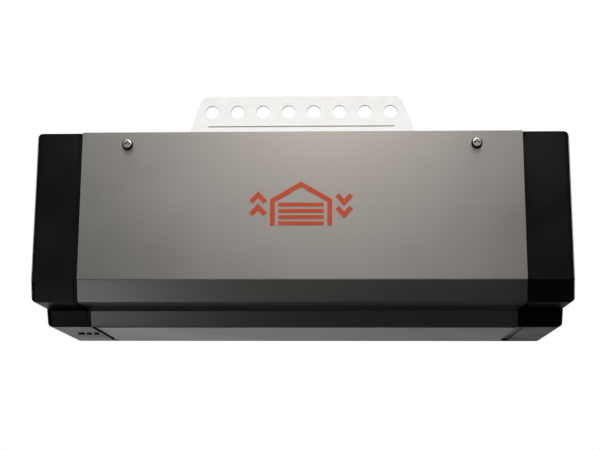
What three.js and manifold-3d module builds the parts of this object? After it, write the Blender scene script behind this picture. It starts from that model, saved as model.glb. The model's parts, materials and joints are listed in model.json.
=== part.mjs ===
// A garage door opener head: a brushed steel hood between two moulded end caps, hung by a perforated
// bracket, with a worm gear motor that turns the drive sprocket under the rail.
//
// Millimetres, +Z up. Sub-parts are drawn in the housing's frame: X = 0 at the middle of its width,
// Y = 0 on the front panel, growing towards the door, and Z = 0 on the top. The group at the end
// moves that frame so that the origin lies on the bracket's front face, in the middle of its holes.

import * as THREE from "three";
import { mergeVertices } from "three/addons/utils/BufferGeometryUtils.js";
import Module from "manifold-3d";

const wasm = await Module();
wasm.setup();

// ---------------------------------------------------------------- driving dimensions

const OVERALL_WIDTH = 382.5;
const CAP_LENGTH = 33;
const PANEL_HEIGHT = 106.5;
const STRIP_DROP = 15.5;
const STRIP_SETBACK = 5;
const LEDGE_DEPTH = 45;
const TRAY_DROP = 11.5;
const TRAY_SETBACK = 6;
const UNDERSIDE_DEPTH = 98;

const HOOD_SHEET = 1;
const HOOD_RISE = 0.8; // of the hood's top edge over the chassis plate and the caps
const CHASSIS_SHEET = 2;
const CAP_WALL = 2.5;
const CAP_EDGE_RADIUS = 4.5;
const GAP = 0.3; // between pieces that lie on each other
const RUNNING = 0.1; // around a pin or shaft that turns
const PAST = 5; // how far a cutter reaches past the sheet that it goes through

const SCREW_X = 125;
const SCREW_DROP = 8.3;

const BRACKET_X = -2.8;
const BRACKET_Y = 76;
const BRACKET_SHEET = 2;
const BRACKET_UNDERSIDE = 24.7;
const BRACKET_FOLD = 26.9;
const HOLE_ROW_Z = 38.5;
const BRACKET_TOP = 51.3;
const HOLE_COUNT = 8;
const HOLE_PITCH = 20;
const HOLE_RADIUS = 5.3;

const SHAFT_Y = 112;
const WHEEL_Z = -32;
const GEAR_MODULE = 1.25;
const WHEEL_TEETH = 40;
const WORM_RADIUS = 6;

// ---------------------------------------------------------------- derived dimensions

const BODY_END = OVERALL_WIDTH / 2 - CAP_LENGTH;
const SHEET_END = BODY_END - GAP;
const HALF_WIDTH = OVERALL_WIDTH / 2;
const BEND_Z = -PANEL_HEIGHT;
const LEDGE_Z = BEND_Z - STRIP_DROP;
const BOTTOM_Z = LEDGE_Z - TRAY_DROP;
const TRAY_TOP_Y = STRIP_SETBACK + LEDGE_DEPTH;
const BOTTOM_FRONT_Y = TRAY_TOP_Y + TRAY_SETBACK;
const REAR_Y = BOTTOM_FRONT_Y + UNDERSIDE_DEPTH;

// The housing's side view as (y, z) corners, anticlockwise from the top front.
const HOUSING = [
  new THREE.Vector2(0, 0),
  new THREE.Vector2(0, BEND_Z),
  new THREE.Vector2(STRIP_SETBACK, LEDGE_Z),
  new THREE.Vector2(TRAY_TOP_Y, LEDGE_Z),
  new THREE.Vector2(BOTTOM_FRONT_Y, BOTTOM_Z),
  new THREE.Vector2(REAR_Y, BOTTOM_Z),
  new THREE.Vector2(REAR_Y, 0),
];

const WHEEL_RADIUS = (GEAR_MODULE * WHEEL_TEETH) / 2;
const WORM_Y = SHAFT_Y - WHEEL_RADIUS - WORM_RADIUS;
const GEAR_PITCH = Math.PI * GEAR_MODULE;

// ---------------------------------------------------------------- solids

const AXIS_X = new THREE.Vector3(1, 0, 0);
const AXIS_Y = new THREE.Vector3(0, 1, 0);
const AXIS_Z = new THREE.Vector3(0, 0, 1);

function solidFrom(geometry) {
  const bare = geometry.clone();
  bare.deleteAttribute("normal");
  bare.deleteAttribute("uv");
  const merged = mergeVertices(bare);
  const mesh = new wasm.Mesh({
    numProp: 3,
    vertProperties: merged.attributes.position.array,
    triVerts: new Uint32Array(merged.index.array),
  });
  return new wasm.Manifold(mesh);
}

function geometryFrom(solid) {
  const { vertProperties, triVerts } = solid.getMesh();
  const geometry = new THREE.BufferGeometry();
  geometry.setAttribute("position", new THREE.BufferAttribute(vertProperties, 3));
  geometry.setIndex(new THREE.BufferAttribute(triVerts, 1));
  geometry.computeVertexNormals();
  return geometry;
}

function join(first, ...others) {
  return others.reduce((sum, solid) => sum.add(solid), first);
}

function cut(body, ...tools) {
  return tools.reduce((rest, tool) => rest.subtract(tool), body);
}

// A box between two values on each axis, given in either order.
function block([x0, x1], [y0, y1], [z0, z1]) {
  const geometry = new THREE.BoxGeometry(Math.abs(x1 - x0), Math.abs(y1 - y0), Math.abs(z1 - z0));
  geometry.translate((x0 + x1) / 2, (y0 + y1) / 2, (z0 + z1) / 2);
  return solidFrom(geometry);
}

function extrude(outline, depth) {
  return new THREE.ExtrudeGeometry(new THREE.Shape(outline), { depth, bevelEnabled: false });
}

// Sweeps of an outline between two values of one axis. The outline is drawn in the other two axes,
// as (y, z), (x, z) and (x, y).
function sweepX(outline, [from, to]) {
  const geometry = extrude(outline, Math.abs(to - from));
  geometry.applyMatrix4(new THREE.Matrix4().makeBasis(AXIS_Y, AXIS_Z, AXIS_X));
  geometry.translate(Math.min(from, to), 0, 0);
  return solidFrom(geometry);
}

function sweepY(outline, [from, to]) {
  const geometry = extrude(outline, Math.abs(to - from));
  geometry.applyMatrix4(new THREE.Matrix4().makeBasis(AXIS_X, AXIS_Z, AXIS_Y.clone().negate()));
  geometry.translate(0, Math.max(from, to), 0);
  return solidFrom(geometry);
}

function sweepZ(outline, [from, to]) {
  const geometry = extrude(outline, Math.abs(to - from));
  geometry.translate(0, 0, Math.min(from, to));
  return solidFrom(geometry);
}

function circle(u, v, radius, sides = 20) {
  const corners = [];
  for (let i = 0; i < sides; i += 1) {
    const angle = (2 * Math.PI * (i + 0.5)) / sides;
    corners.push(new THREE.Vector2(u + radius * Math.cos(angle), v + radius * Math.sin(angle)));
  }
  return corners;
}

const rodX = (radius, span, y, z, sides) => sweepX(circle(y, z, radius, sides), span);
const rodY = (radius, span, x, z, sides) => sweepY(circle(x, z, radius, sides), span);
const rodZ = (radius, span, x, y, sides) => sweepZ(circle(x, y, radius, sides), span);

// An anticlockwise outline moved inwards, or an open path moved to its left.
function offset(path, distance, closed = true) {
  return path.map((corner, i) => {
    const before = closed || i > 0 ? path.at(i - 1) : null;
    const after = closed || i < path.length - 1 ? path[(i + 1) % path.length] : null;
    const arriving = (before ? corner.clone().sub(before) : after.clone().sub(corner)).normalize();
    const leaving = (after ? after.clone().sub(corner) : corner.clone().sub(before)).normalize();
    const left = new THREE.Vector2(-arriving.y - leaving.y, arriving.x + leaving.x);
    return corner.clone().addScaledVector(left, distance / (1 + arriving.dot(leaving)));
  });
}

function foldedSheet(path, thickness, span) {
  return sweepX([...path, ...offset(path, thickness, false).reverse()], span);
}

// ---------------------------------------------------------------- materials

const finish = (color, roughness, metalness) =>
  new THREE.MeshStandardMaterial({ color, roughness, metalness });

const brushedSteel = () => finish(0x9c968f, 0.35, 0.9);
const galvanised = () => finish(0xb9bcbe, 0.45, 0.85);
const brightSteel = () => finish(0xc4c6c8, 0.25, 1);
const blackPlastic = () => finish(0x141414, 0.55, 0);
const greyPlastic = () => finish(0x2b2c2e, 0.5, 0);
const whitePlastic = () => finish(0xe9e9e4, 0.6, 0);
const opalPlastic = () => finish(0xa7a8a4, 0.4, 0);
const castAluminium = () => finish(0xa3a6a8, 0.6, 0.7);
const bronze = () => finish(0x8f6c3c, 0.5, 0.8);
const copper = () => finish(0xa4592c, 0.4, 0.8);
const circuitBoard = () => finish(0x1f5a37, 0.5, 0.1);
const darkIron = () => finish(0x4a4c50, 0.6, 0.7);
const nylon = () => finish(0xe4dfcf, 0.5, 0);

// ---------------------------------------------------------------- assembly

const housingFrame = new THREE.Group();

function add(name, solid, material, position = [0, 0, 0], rotation = [0, 0, 0]) {
  const mesh = new THREE.Mesh(geometryFrom(solid), material);
  mesh.name = name;
  mesh.position.set(...position);
  mesh.rotation.set(...rotation);
  housingFrame.add(mesh);
}

// ---------------------------------------------------------------- screws

const QUARTER_TURN = Math.PI / 2;
const FACING_FRONT = [QUARTER_TURN, 0, 0];
const FACING_REAR = [-QUARTER_TURN, 0, 0];
const facingSide = (side) => [0, side * QUARTER_TURN, 0];

const PAN_HEAD_RADIUS = 4;
const PAN_HEAD_HEIGHT = 1.6;
const SCREW_RADIUS = 1.9;
const SCREW_HOLE_RADIUS = 2.3;
const SCREW_LENGTH = 10;
const CAP_SCREW_LENGTH = 38;
const HEAD_FLAT = 0.6;
const RECESS_REACH = 0.55;
const RECESS_HALF_WIDTH = 0.6;
const RECESS_FLOOR = 0.3; // above the head's seat

// A cross-recessed pan-head screw along +Z, with the head's seat at z = 0.
function panScrew(length) {
  const dome = new THREE.Shape();
  dome.moveTo(SCREW_RADIUS / 2, 0);
  dome.lineTo(PAN_HEAD_RADIUS, 0);
  dome.lineTo(PAN_HEAD_RADIUS, PAN_HEAD_HEIGHT / 3);
  dome.quadraticCurveTo(PAN_HEAD_RADIUS, PAN_HEAD_HEIGHT, PAN_HEAD_RADIUS * HEAD_FLAT, PAN_HEAD_HEIGHT);
  dome.lineTo(SCREW_RADIUS / 2, PAN_HEAD_HEIGHT);
  dome.closePath();
  const lathe = new THREE.LatheGeometry(dome.getPoints(3), 18);
  lathe.rotateX(QUARTER_TURN);
  const core = rodZ(SCREW_RADIUS * 0.75, [-1, PAN_HEAD_HEIGHT - 0.05], 0, 0, 12);
  const shank = rodZ(SCREW_RADIUS, [-length, 0.5], 0, 0, 12);
  const depth = [RECESS_FLOOR, PAN_HEAD_HEIGHT + 1];
  const arm = PAN_HEAD_RADIUS * RECESS_REACH;
  const across = block([-arm, arm], [-RECESS_HALF_WIDTH, RECESS_HALF_WIDTH], depth);
  const along = block([-RECESS_HALF_WIDTH, RECESS_HALF_WIDTH], [-arm, arm], depth);
  return cut(join(solidFrom(lathe), core, shank), across, along);
}

function addCaseScrews() {
  for (const [label, x] of [["left", -SCREW_X], ["right", SCREW_X]]) {
    const front = [x, -GAP, -SCREW_DROP];
    const rear = [x, REAR_Y + GAP, -SCREW_DROP];
    add(`hood_screw_${label}`, panScrew(SCREW_LENGTH), brightSteel(), front, FACING_FRONT);
    add(`rear_screw_${label}`, panScrew(SCREW_LENGTH), brightSteel(), rear, FACING_REAR);
  }
}

// ---------------------------------------------------------------- chassis and covers

const FLANGE_HEIGHT = 18;
const FLANGE_INSET = 8;
const END_FLANGE_HEIGHT = 24;
const END_FLANGE_INSET = 12;
const SHAFT_HOLE_RADIUS = 8;
const CAP_SCREW_Y = [22, 128];
const CAP_SCREW_Z = -14;

function chassisPlate() {
  const front = HOOD_SHEET + GAP;
  const rear = REAR_Y - front;
  const flangeEnd = SHEET_END - FLANGE_INSET;
  const plate = join(
    block([-SHEET_END, SHEET_END], [front, rear], [-CHASSIS_SHEET, 0]),
    block([-flangeEnd, flangeEnd], [front, front + CHASSIS_SHEET], [-FLANGE_HEIGHT, 0]),
    block([-flangeEnd, flangeEnd], [rear - CHASSIS_SHEET, rear], [-FLANGE_HEIGHT, 0]),
  );
  const endY = [END_FLANGE_INSET, REAR_Y - END_FLANGE_INSET];
  const sides = [-1, 1].map((side) =>
    block([side * (SHEET_END - CHASSIS_SHEET), side * SHEET_END], endY, [-END_FLANGE_HEIGHT, 0]),
  );
  const screwHoles = [-SCREW_X, SCREW_X].map((x) =>
    rodY(SCREW_HOLE_RADIUS, [-PAST, REAR_Y + PAST], x, -SCREW_DROP, 12),
  );
  const capHoles = CAP_SCREW_Y.map((y) =>
    rodX(SCREW_HOLE_RADIUS, [-BODY_END, BODY_END], y, CAP_SCREW_Z, 12),
  );
  const shaftHole = rodZ(SHAFT_HOLE_RADIUS, [-PAST, PAST], 0, SHAFT_Y);
  return cut(join(plate, ...sides), ...screwHoles, ...capHoles, shaftHole);
}

// One sheet folded four times: the panel, the strip below it, the ledge and the lamp tray's face.
function frontHood() {
  const path = [new THREE.Vector2(0, HOOD_RISE), ...HOUSING.slice(1, 5)];
  const sheet = foldedSheet(path, HOOD_SHEET, [-SHEET_END, SHEET_END]);
  const holes = [-SCREW_X, SCREW_X].map((x) => rodY(SCREW_HOLE_RADIUS, [-PAST, PAST], x, -SCREW_DROP, 12));
  return cut(sheet, ...holes);
}

const INLET_X = 108;
const INLET_Z = -74;
const INLET_HALF_WIDTH = 13.5;
const INLET_HALF_HEIGHT = 10;
const INLET_DEPTH = 22;
const INLET_SOCKET_DEPTH = 17;
const INLET_WALL = 2;
const REAR_LIP = 4;
const VENT_COUNT = 12;
const VENT_PITCH = 8;
const VENT_WIDTH = 3;
const VENT_X = -128;
const VENT_Z = [-92, -62];

function rearCover() {
  const lip = new THREE.Vector2(REAR_Y - REAR_LIP, BOTTOM_Z);
  const sheet = foldedSheet([lip, HOUSING[5], HOUSING[6]], HOOD_SHEET, [-SHEET_END, SHEET_END]);
  const through = [REAR_Y - PAST, REAR_Y + PAST];
  const holes = [-SCREW_X, SCREW_X].map((x) => rodY(SCREW_HOLE_RADIUS, through, x, -SCREW_DROP, 12));
  const inletHole = block(
    [INLET_X - INLET_HALF_WIDTH - GAP, INLET_X + INLET_HALF_WIDTH + GAP],
    through,
    [INLET_Z - INLET_HALF_HEIGHT - GAP, INLET_Z + INLET_HALF_HEIGHT + GAP],
  );
  const vents = [];
  for (let i = 0; i < VENT_COUNT; i += 1) {
    const x = VENT_X + i * VENT_PITCH;
    vents.push(block([x, x + VENT_WIDTH], through, VENT_Z));
  }
  return cut(sheet, ...holes, inletHole, ...vents);
}

// ---------------------------------------------------------------- end caps

const CAP_SEAM_WIDTH = 2;
const CAP_SEAM_DEPTH = 0.8;
const CAP_SEAM_STOP = 1; // short of the top and of the underside
const CAP_EDGE_STEPS = 4;
const POST_RADIUS = 5;
const HEAD_RECESS_RADIUS = 4.6;
const HEAD_RECESS_DEPTH = 3;
const TONGUE_REACH = 6;
const TONGUE_WALL = 2;
const TONGUE_Z = [-118, -28];
const SHELF_Y = [90, 115];
const SHELF_Z = [-123.3, -121.3];
const FINGER_GROOVE_WIDTH = 4.6;
const FINGER_GROOVE_DEPTH = 1.1;
const BUTTON_X = [-174.8, -168.9, -163];
const BUTTON_Y = 101;
const BUTTON_RADII = [2.6, 2, 2];
const BUTTON_CLEARANCE = 0.25;

// The housing's outline with its outer end rounded over and its inner end cut square.
function capBody(side) {
  const rounded = new THREE.ExtrudeGeometry(new THREE.Shape(HOUSING), {
    depth: CAP_LENGTH,
    bevelThickness: CAP_EDGE_RADIUS,
    bevelSize: CAP_EDGE_RADIUS,
    bevelOffset: -CAP_EDGE_RADIUS,
    bevelSegments: CAP_EDGE_STEPS,
  });
  rounded.applyMatrix4(new THREE.Matrix4().makeBasis(AXIS_Y, AXIS_Z, AXIS_X));
  const reach = side > 0 ? HALF_WIDTH - CAP_LENGTH - CAP_EDGE_RADIUS : CAP_EDGE_RADIUS - HALF_WIDTH;
  rounded.translate(reach, 0, 0);
  const beyond = side * (HALF_WIDTH + PAST);
  const keep = block([side * BODY_END, beyond], [-PAST, REAR_Y + PAST], [BOTTOM_Z - PAST, PAST]);
  return solidFrom(rounded).intersect(keep);
}

function endCap(side) {
  const inner = side * BODY_END;
  const outer = side * HALF_WIDTH;
  const cavity = sweepX(offset(HOUSING, CAP_WALL), [inner - side, outer - side * CAP_WALL]);
  const seam = [inner - side, inner + side * CAP_SEAM_WIDTH];
  const seamRing = cut(sweepX(offset(HOUSING, -1), seam), sweepX(offset(HOUSING, CAP_SEAM_DEPTH), seam));
  const seamZ = [BOTTOM_Z + CAP_SEAM_STOP, -CAP_SEAM_STOP];
  const upright = block([-HALF_WIDTH, HALF_WIDTH], [-PAST, REAR_Y + PAST], seamZ);
  let cap = cut(capBody(side), cavity, seamRing.intersect(upright));

  const tongueGap = HOOD_SHEET + GAP + RUNNING;
  const tongueSpan = [inner - side * TONGUE_REACH, inner + side * 3];
  const tongue = cut(
    sweepX(offset(HOUSING, tongueGap), tongueSpan),
    sweepX(offset(HOUSING, tongueGap + TONGUE_WALL), tongueSpan),
  ).intersect(block([-HALF_WIDTH, HALF_WIDTH], [0, REAR_Y], TONGUE_Z));
  const shelf = block([inner - side * TONGUE_REACH, outer - side * CAP_WALL / 2], SHELF_Y, SHELF_Z);
  cap = join(cap, tongue, shelf);

  for (const y of CAP_SCREW_Y) {
    const post = rodX(POST_RADIUS, [inner + side * GAP, outer - side * 1], y, CAP_SCREW_Z, 16);
    const bore = rodX(SCREW_HOLE_RADIUS, [inner - side, outer + side], y, CAP_SCREW_Z, 12);
    const seat = outer - side * HEAD_RECESS_DEPTH;
    const recess = rodX(HEAD_RECESS_RADIUS, [seat, outer + side], y, CAP_SCREW_Z, 16);
    cap = cut(join(cap, post), bore, recess);
  }
  return side > 0 ? withFingerGroove(cap) : withButtonHoles(cap);
}

// The recess along the underside by which the lamp cover's free end is pulled down.
function withFingerGroove(cap) {
  const y = [BOTTOM_FRONT_Y + 2, REAR_Y - 4];
  const roof = BOTTOM_Z + FINGER_GROOVE_DEPTH;
  const grooveEnd = BODY_END + FINGER_GROOVE_WIDTH;
  const rib = block([BODY_END, grooveEnd + CAP_WALL], y, [BOTTOM_Z + CAP_WALL - 1, roof + CAP_WALL]);
  const groove = block([BODY_END - 1, grooveEnd], y, [BOTTOM_Z - 1, roof]);
  return cut(join(cap, rib), groove);
}

const BOARD_THICKNESS = 1.6;
const BUTTON_BOARD_X = [-182, -159];
const BUTTON_BOARD_Y = [88, 114];
const BUTTON_BOARD_Z = BOTTOM_Z + 8.3;
const BUTTON_POST_RADIUS = 1.5;
const BUTTON_POST_INSET = 3;

function withButtonHoles(cap) {
  const holes = BUTTON_X.map((x, i) =>
    rodZ(BUTTON_RADII[i] + BUTTON_CLEARANCE, [BOTTOM_Z - 1, BOTTOM_Z + PAST], x, BUTTON_Y, 16),
  );
  const [left, right] = BUTTON_BOARD_X;
  const [front, rear] = BUTTON_BOARD_Y;
  const posts = [left + BUTTON_POST_INSET, right - BUTTON_POST_RADIUS].flatMap((x) =>
    [front + BUTTON_POST_INSET, rear - BUTTON_POST_INSET].map((y) =>
      rodZ(BUTTON_POST_RADIUS, [BOTTOM_Z + 1, BUTTON_BOARD_Z - GAP], x, y, 10),
    ),
  );
  return cut(join(cap, ...posts), ...holes);
}

function addEndCaps() {
  for (const [label, side] of [["left", -1], ["right", 1]]) {
    add(`end_cap_${label}`, endCap(side), blackPlastic());
    CAP_SCREW_Y.forEach((y, i) => {
      const seat = [side * (HALF_WIDTH - HEAD_RECESS_DEPTH + GAP), y, CAP_SCREW_Z];
      const screw = panScrew(CAP_SCREW_LENGTH);
      add(`cap_screw_${label}_${i + 1}`, screw, brightSteel(), seat, facingSide(side));
    });
  }
}

// ---------------------------------------------------------------- push buttons

const BUTTON_PROUD = 1;
const BUTTON_FLANGE = 0.45;
const BUTTON_NAMES = ["button_program", "button_down", "button_up"];
const SWITCH_HALF = [2.3, 3];
const SWITCH_HEIGHT = 3.6;

// A round cap that shows below the wall, held from above by its wider foot.
function pushButton(x, radius) {
  const wallTop = BOTTOM_Z + CAP_WALL;
  return join(
    rodZ(radius, [BOTTOM_Z - BUTTON_PROUD, wallTop + BUTTON_FLANGE / 2], x, BUTTON_Y, 16),
    rodZ(radius + BUTTON_FLANGE, [wallTop + RUNNING, wallTop + BUTTON_FLANGE + GAP], x, BUTTON_Y, 16),
  );
}

function addButtons() {
  BUTTON_X.forEach((x, i) => add(BUTTON_NAMES[i], pushButton(x, BUTTON_RADII[i]), greyPlastic()));
  const boardZ = [BUTTON_BOARD_Z, BUTTON_BOARD_Z + BOARD_THICKNESS];
  const board = block(BUTTON_BOARD_X, BUTTON_BOARD_Y, boardZ);
  const [halfX, halfY] = SWITCH_HALF;
  const switchZ = [BUTTON_BOARD_Z - SWITCH_HEIGHT, BUTTON_BOARD_Z + BOARD_THICKNESS / 2];
  const switches = BUTTON_X.map((x) =>
    block([x - halfX, x + halfX], [BUTTON_Y - halfY, BUTTON_Y + halfY], switchZ),
  );
  add("button_board", join(board, ...switches), circuitBoard());
}

// ---------------------------------------------------------------- lamp

const HINGE_X = -153.5;
const HINGE_RADIUS = 3.3;
const COVER_PROUD = 0.2;
const COVER_BOTTOM = BOTTOM_Z - COVER_PROUD;
const HINGE_Z = COVER_BOTTOM + HINGE_RADIUS;
const HINGE_PIN_RADIUS = 1.2;
const EAR_RADIUS = 2.6;
const EAR_Y = [75, 128];
const EAR_THICKNESS = 2;
const COVER_END = 156.6;
const COVER_FRONT = BOTTOM_FRONT_Y + 2;
const COVER_REAR = REAR_Y - REAR_LIP - 1;
const COVER_WALL = 2;
const RIM = 1.5;
const RIM_TOP = -126;
const RIM_START = -148;
const LAMP_TRAY_Z = -121;
const LAMP_TRAY_SHEET = 1.5;
const TRAY_LIP_END = 150;
const TRAY_LIP_HEIGHT = 6;
const TRAY_LIP_INSET = 2.5;
const TRAY_LIP_SHEET = 1.2;
const LED_BOARD_HALF = 130;
const LED_BOARD_Y = [92, 110];

// The diffuser: a shallow pan that turns about the round nose at its left end.
function lightCover() {
  const y = [COVER_FRONT, COVER_REAR];
  const rimZ = [COVER_BOTTOM + COVER_WALL / 2, RIM_TOP];
  const pan = join(
    block([HINGE_X, COVER_END], y, [COVER_BOTTOM, COVER_BOTTOM + COVER_WALL]),
    block([RIM_START, COVER_END], [COVER_FRONT, COVER_FRONT + RIM], rimZ),
    block([RIM_START, COVER_END], [COVER_REAR - RIM, COVER_REAR], rimZ),
    block([COVER_END - RIM, COVER_END], y, rimZ),
    rodY(HINGE_RADIUS, y, HINGE_X, HINGE_Z, 24),
  );
  const bore = rodY(HINGE_PIN_RADIUS + RUNNING, [COVER_FRONT - 1, COVER_REAR + 1], HINGE_X, HINGE_Z, 16);
  const slotWidth = EAR_THICKNESS / 2 + 0.4;
  const slotX = [HINGE_X - PAST, HINGE_X + HINGE_RADIUS];
  const slotZ = [COVER_BOTTOM - 1, RIM_TOP];
  const slots = EAR_Y.map((at) => block(slotX, [at - slotWidth, at + slotWidth], slotZ));
  return cut(pan, bore, ...slots);
}

// The white reflector above the cover, with the two ears that hold the hinge pin.
function lampTray() {
  const trayZ = [LAMP_TRAY_Z, LAMP_TRAY_Z + LAMP_TRAY_SHEET];
  const lipZ = [LAMP_TRAY_Z - TRAY_LIP_HEIGHT, LAMP_TRAY_Z + LAMP_TRAY_SHEET / 2];
  const lip = (start) => block([RIM_START, TRAY_LIP_END], [start, start + TRAY_LIP_SHEET], lipZ);
  const tray = join(
    block([-SHEET_END, SHEET_END], [COVER_FRONT, COVER_REAR], trayZ),
    lip(COVER_FRONT + TRAY_LIP_INSET),
    lip(COVER_REAR - TRAY_LIP_INSET - TRAY_LIP_SHEET),
  );
  const ears = EAR_Y.map((at) => {
    const y = [at - EAR_THICKNESS / 2, at + EAR_THICKNESS / 2];
    const stem = block([HINGE_X - EAR_RADIUS, HINGE_X + EAR_RADIUS], y, [HINGE_Z, LAMP_TRAY_Z + 0.5]);
    return join(stem, rodY(EAR_RADIUS, y, HINGE_X, HINGE_Z, 20));
  });
  const bore = rodY(HINGE_PIN_RADIUS + RUNNING, [COVER_FRONT, COVER_REAR], HINGE_X, HINGE_Z, 16);
  return cut(join(tray, ...ears), bore);
}

function addLamp() {
  add("light_cover", lightCover(), opalPlastic());
  add("lamp_tray", lampTray(), whitePlastic());
  const pinSpan = [COVER_FRONT + GAP, COVER_REAR - GAP];
  add("light_cover_pin", rodY(HINGE_PIN_RADIUS, pinSpan, HINGE_X, HINGE_Z, 12), brightSteel());
  const boardTop = LAMP_TRAY_Z - GAP;
  const boardZ = [boardTop - BOARD_THICKNESS, boardTop];
  const ledBoard = block([-LED_BOARD_HALF, LED_BOARD_HALF], LED_BOARD_Y, boardZ);
  add("led_board", ledBoard, whitePlastic());
}

// ---------------------------------------------------------------- rail cradle and bracket

const CRADLE_HALF_WIDTH = 19;
const CRADLE_SHEET = 2;
const CRADLE_FRONT = 84;
const CRADLE_TOP = BRACKET_UNDERSIDE - 0.1;
const CRADLE_WING = 40;
const BOLT_X = 31;
const BOLT_Y = [95, 130];
const BOLT_RADIUS = 3;
const BOLT_HOLE_RADIUS = 3.3;
const BOLT_LENGTH = 12;
const HEX_CORNER_RADIUS = 5.77;
const HEX_HEIGHT = 4;

function boltHoles(z) {
  return BOLT_Y.flatMap((y) => [-BOLT_X, BOLT_X].map((x) => rodZ(BOLT_HOLE_RADIUS, z, x, y, 12)));
}

// A hat-shaped channel that takes the rail's end and carries the bracket on its wings, which have
// a nut welded under each bolt.
function railCradle() {
  const y = [CRADLE_FRONT, REAR_Y];
  const outside = CRADLE_HALF_WIDTH + CRADLE_SHEET;
  const floor = block([-outside, outside], y, [GAP, GAP + CRADLE_SHEET]);
  const walls = [-1, 1].flatMap((side) => [
    block([side * CRADLE_HALF_WIDTH, side * outside], y, [GAP, CRADLE_TOP]),
    block([side * CRADLE_HALF_WIDTH, side * CRADLE_WING], y, [CRADLE_TOP - CRADLE_SHEET, CRADLE_TOP]),
  ]);
  const nutTop = CRADLE_TOP - CRADLE_SHEET / 2;
  const nutBottom = CRADLE_TOP - CRADLE_SHEET - HEX_HEIGHT;
  const nuts = BOLT_Y.flatMap((atY) =>
    [-BOLT_X, BOLT_X].map((x) => sweepZ(circle(x, atY, HEX_CORNER_RADIUS, 6), [nutBottom, nutTop])),
  );
  const shaftHole = rodZ(SHAFT_HOLE_RADIUS, [-1, PAST], 0, SHAFT_Y);
  return cut(join(floor, ...walls, ...nuts), shaftHole, ...boltHoles([nutBottom - 1, CRADLE_TOP + 1]));
}

const FLANGE_HALF_BASE = 87.3;
const FLANGE_HALF_TOP = 77.5;
const FLANGE_CORNER = 6;
const BASE_HALF_WIDTH = 73.3;
const BASE_REAR = 140;
const BASE_LIFT = 0.2;
const FLANGE_BOTTOM = 21.5;
const CREASE_Z = [26.2, 27.2];
const CREASE_DEPTH = 0.5;

// The upright flange's outline in (x, z): straight sides that lean in to two rounded top corners.
function flangeOutline() {
  const outline = new THREE.Shape();
  const lean = new THREE.Vector2(FLANGE_HALF_TOP - FLANGE_HALF_BASE, BRACKET_TOP - BRACKET_FOLD).normalize();
  const shoulder = new THREE.Vector2(FLANGE_HALF_TOP, BRACKET_TOP).addScaledVector(lean, -FLANGE_CORNER);
  outline.moveTo(-FLANGE_HALF_BASE, FLANGE_BOTTOM);
  outline.lineTo(FLANGE_HALF_BASE, FLANGE_BOTTOM);
  outline.lineTo(FLANGE_HALF_BASE, BRACKET_FOLD);
  outline.lineTo(shoulder.x, shoulder.y);
  outline.quadraticCurveTo(FLANGE_HALF_TOP, BRACKET_TOP, FLANGE_HALF_TOP - FLANGE_CORNER, BRACKET_TOP);
  outline.lineTo(FLANGE_CORNER - FLANGE_HALF_TOP, BRACKET_TOP);
  outline.quadraticCurveTo(-FLANGE_HALF_TOP, BRACKET_TOP, -shoulder.x, shoulder.y);
  outline.lineTo(-FLANGE_HALF_BASE, BRACKET_FOLD);
  return outline.getPoints(5).slice(0, -1);
}

function suspensionBracket() {
  const centred = (x) => x + BRACKET_X;
  const outline = flangeOutline().map((corner) => new THREE.Vector2(centred(corner.x), corner.y));
  const flange = sweepY(outline, [BRACKET_Y, BRACKET_Y + BRACKET_SHEET]);
  const underside = BRACKET_UNDERSIDE + BASE_LIFT;
  const baseTop = underside + BRACKET_SHEET;
  const baseX = [centred(-BASE_HALF_WIDTH), centred(BASE_HALF_WIDTH)];
  const base = block(baseX, [BRACKET_Y + BRACKET_SHEET / 2, BASE_REAR], [underside, baseTop]);
  const crease = block(baseX, [BRACKET_Y - 1, BRACKET_Y + CREASE_DEPTH], CREASE_Z);
  const holes = [];
  for (let i = 0; i < HOLE_COUNT; i += 1) {
    const x = centred((i - (HOLE_COUNT - 1) / 2) * HOLE_PITCH);
    holes.push(rodY(HOLE_RADIUS, [BRACKET_Y - 1, BRACKET_Y + PAST], x, HOLE_ROW_Z, 24));
  }
  return cut(join(flange, base), crease, ...holes, ...boltHoles([BRACKET_UNDERSIDE - 1, baseTop + 1]));
}

function hexBolt() {
  const head = sweepZ(circle(0, 0, HEX_CORNER_RADIUS, 6), [0, HEX_HEIGHT]);
  return join(head, rodZ(BOLT_RADIUS, [-BOLT_LENGTH, 1], 0, 0, 12));
}

function addRailSeat() {
  add("rail_cradle", railCradle(), galvanised());
  add("suspension_bracket", suspensionBracket(), galvanised());
  const seat = BRACKET_UNDERSIDE + BASE_LIFT + BRACKET_SHEET + GAP;
  BOLT_Y.forEach((y, row) => {
    add(`bracket_bolt_left_${row + 1}`, hexBolt(), brightSteel(), [-BOLT_X, y, seat]);
    add(`bracket_bolt_right_${row + 1}`, hexBolt(), brightSteel(), [BOLT_X, y, seat]);
  });
}

// ---------------------------------------------------------------- worm gear

const TOOTH_FLANK = Math.tan(THREE.MathUtils.degToRad(20));
const THREAD_HALF = 0.775;
const WHEEL_TOOTH_HALF = 0.875;
const WORM_TIP = 7.2;
const WORM_ROOT = 4.6;
const WORM_HALF_LENGTH = 9;
const WHEEL_TIP = 26.1;
const WHEEL_ROOT = 23.4;
const WHEEL_HALF_WIDTH = 5;
const WHEEL_HUB_RADIUS = 9;
const WHEEL_HUB_HALF = 7;
const SHAFT_RADIUS = 4.9;
const MOTOR_SHAFT_RADIUS = 3;
const LEAD_SLOPE = GEAR_PITCH / (2 * Math.PI * WORM_RADIUS);

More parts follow.
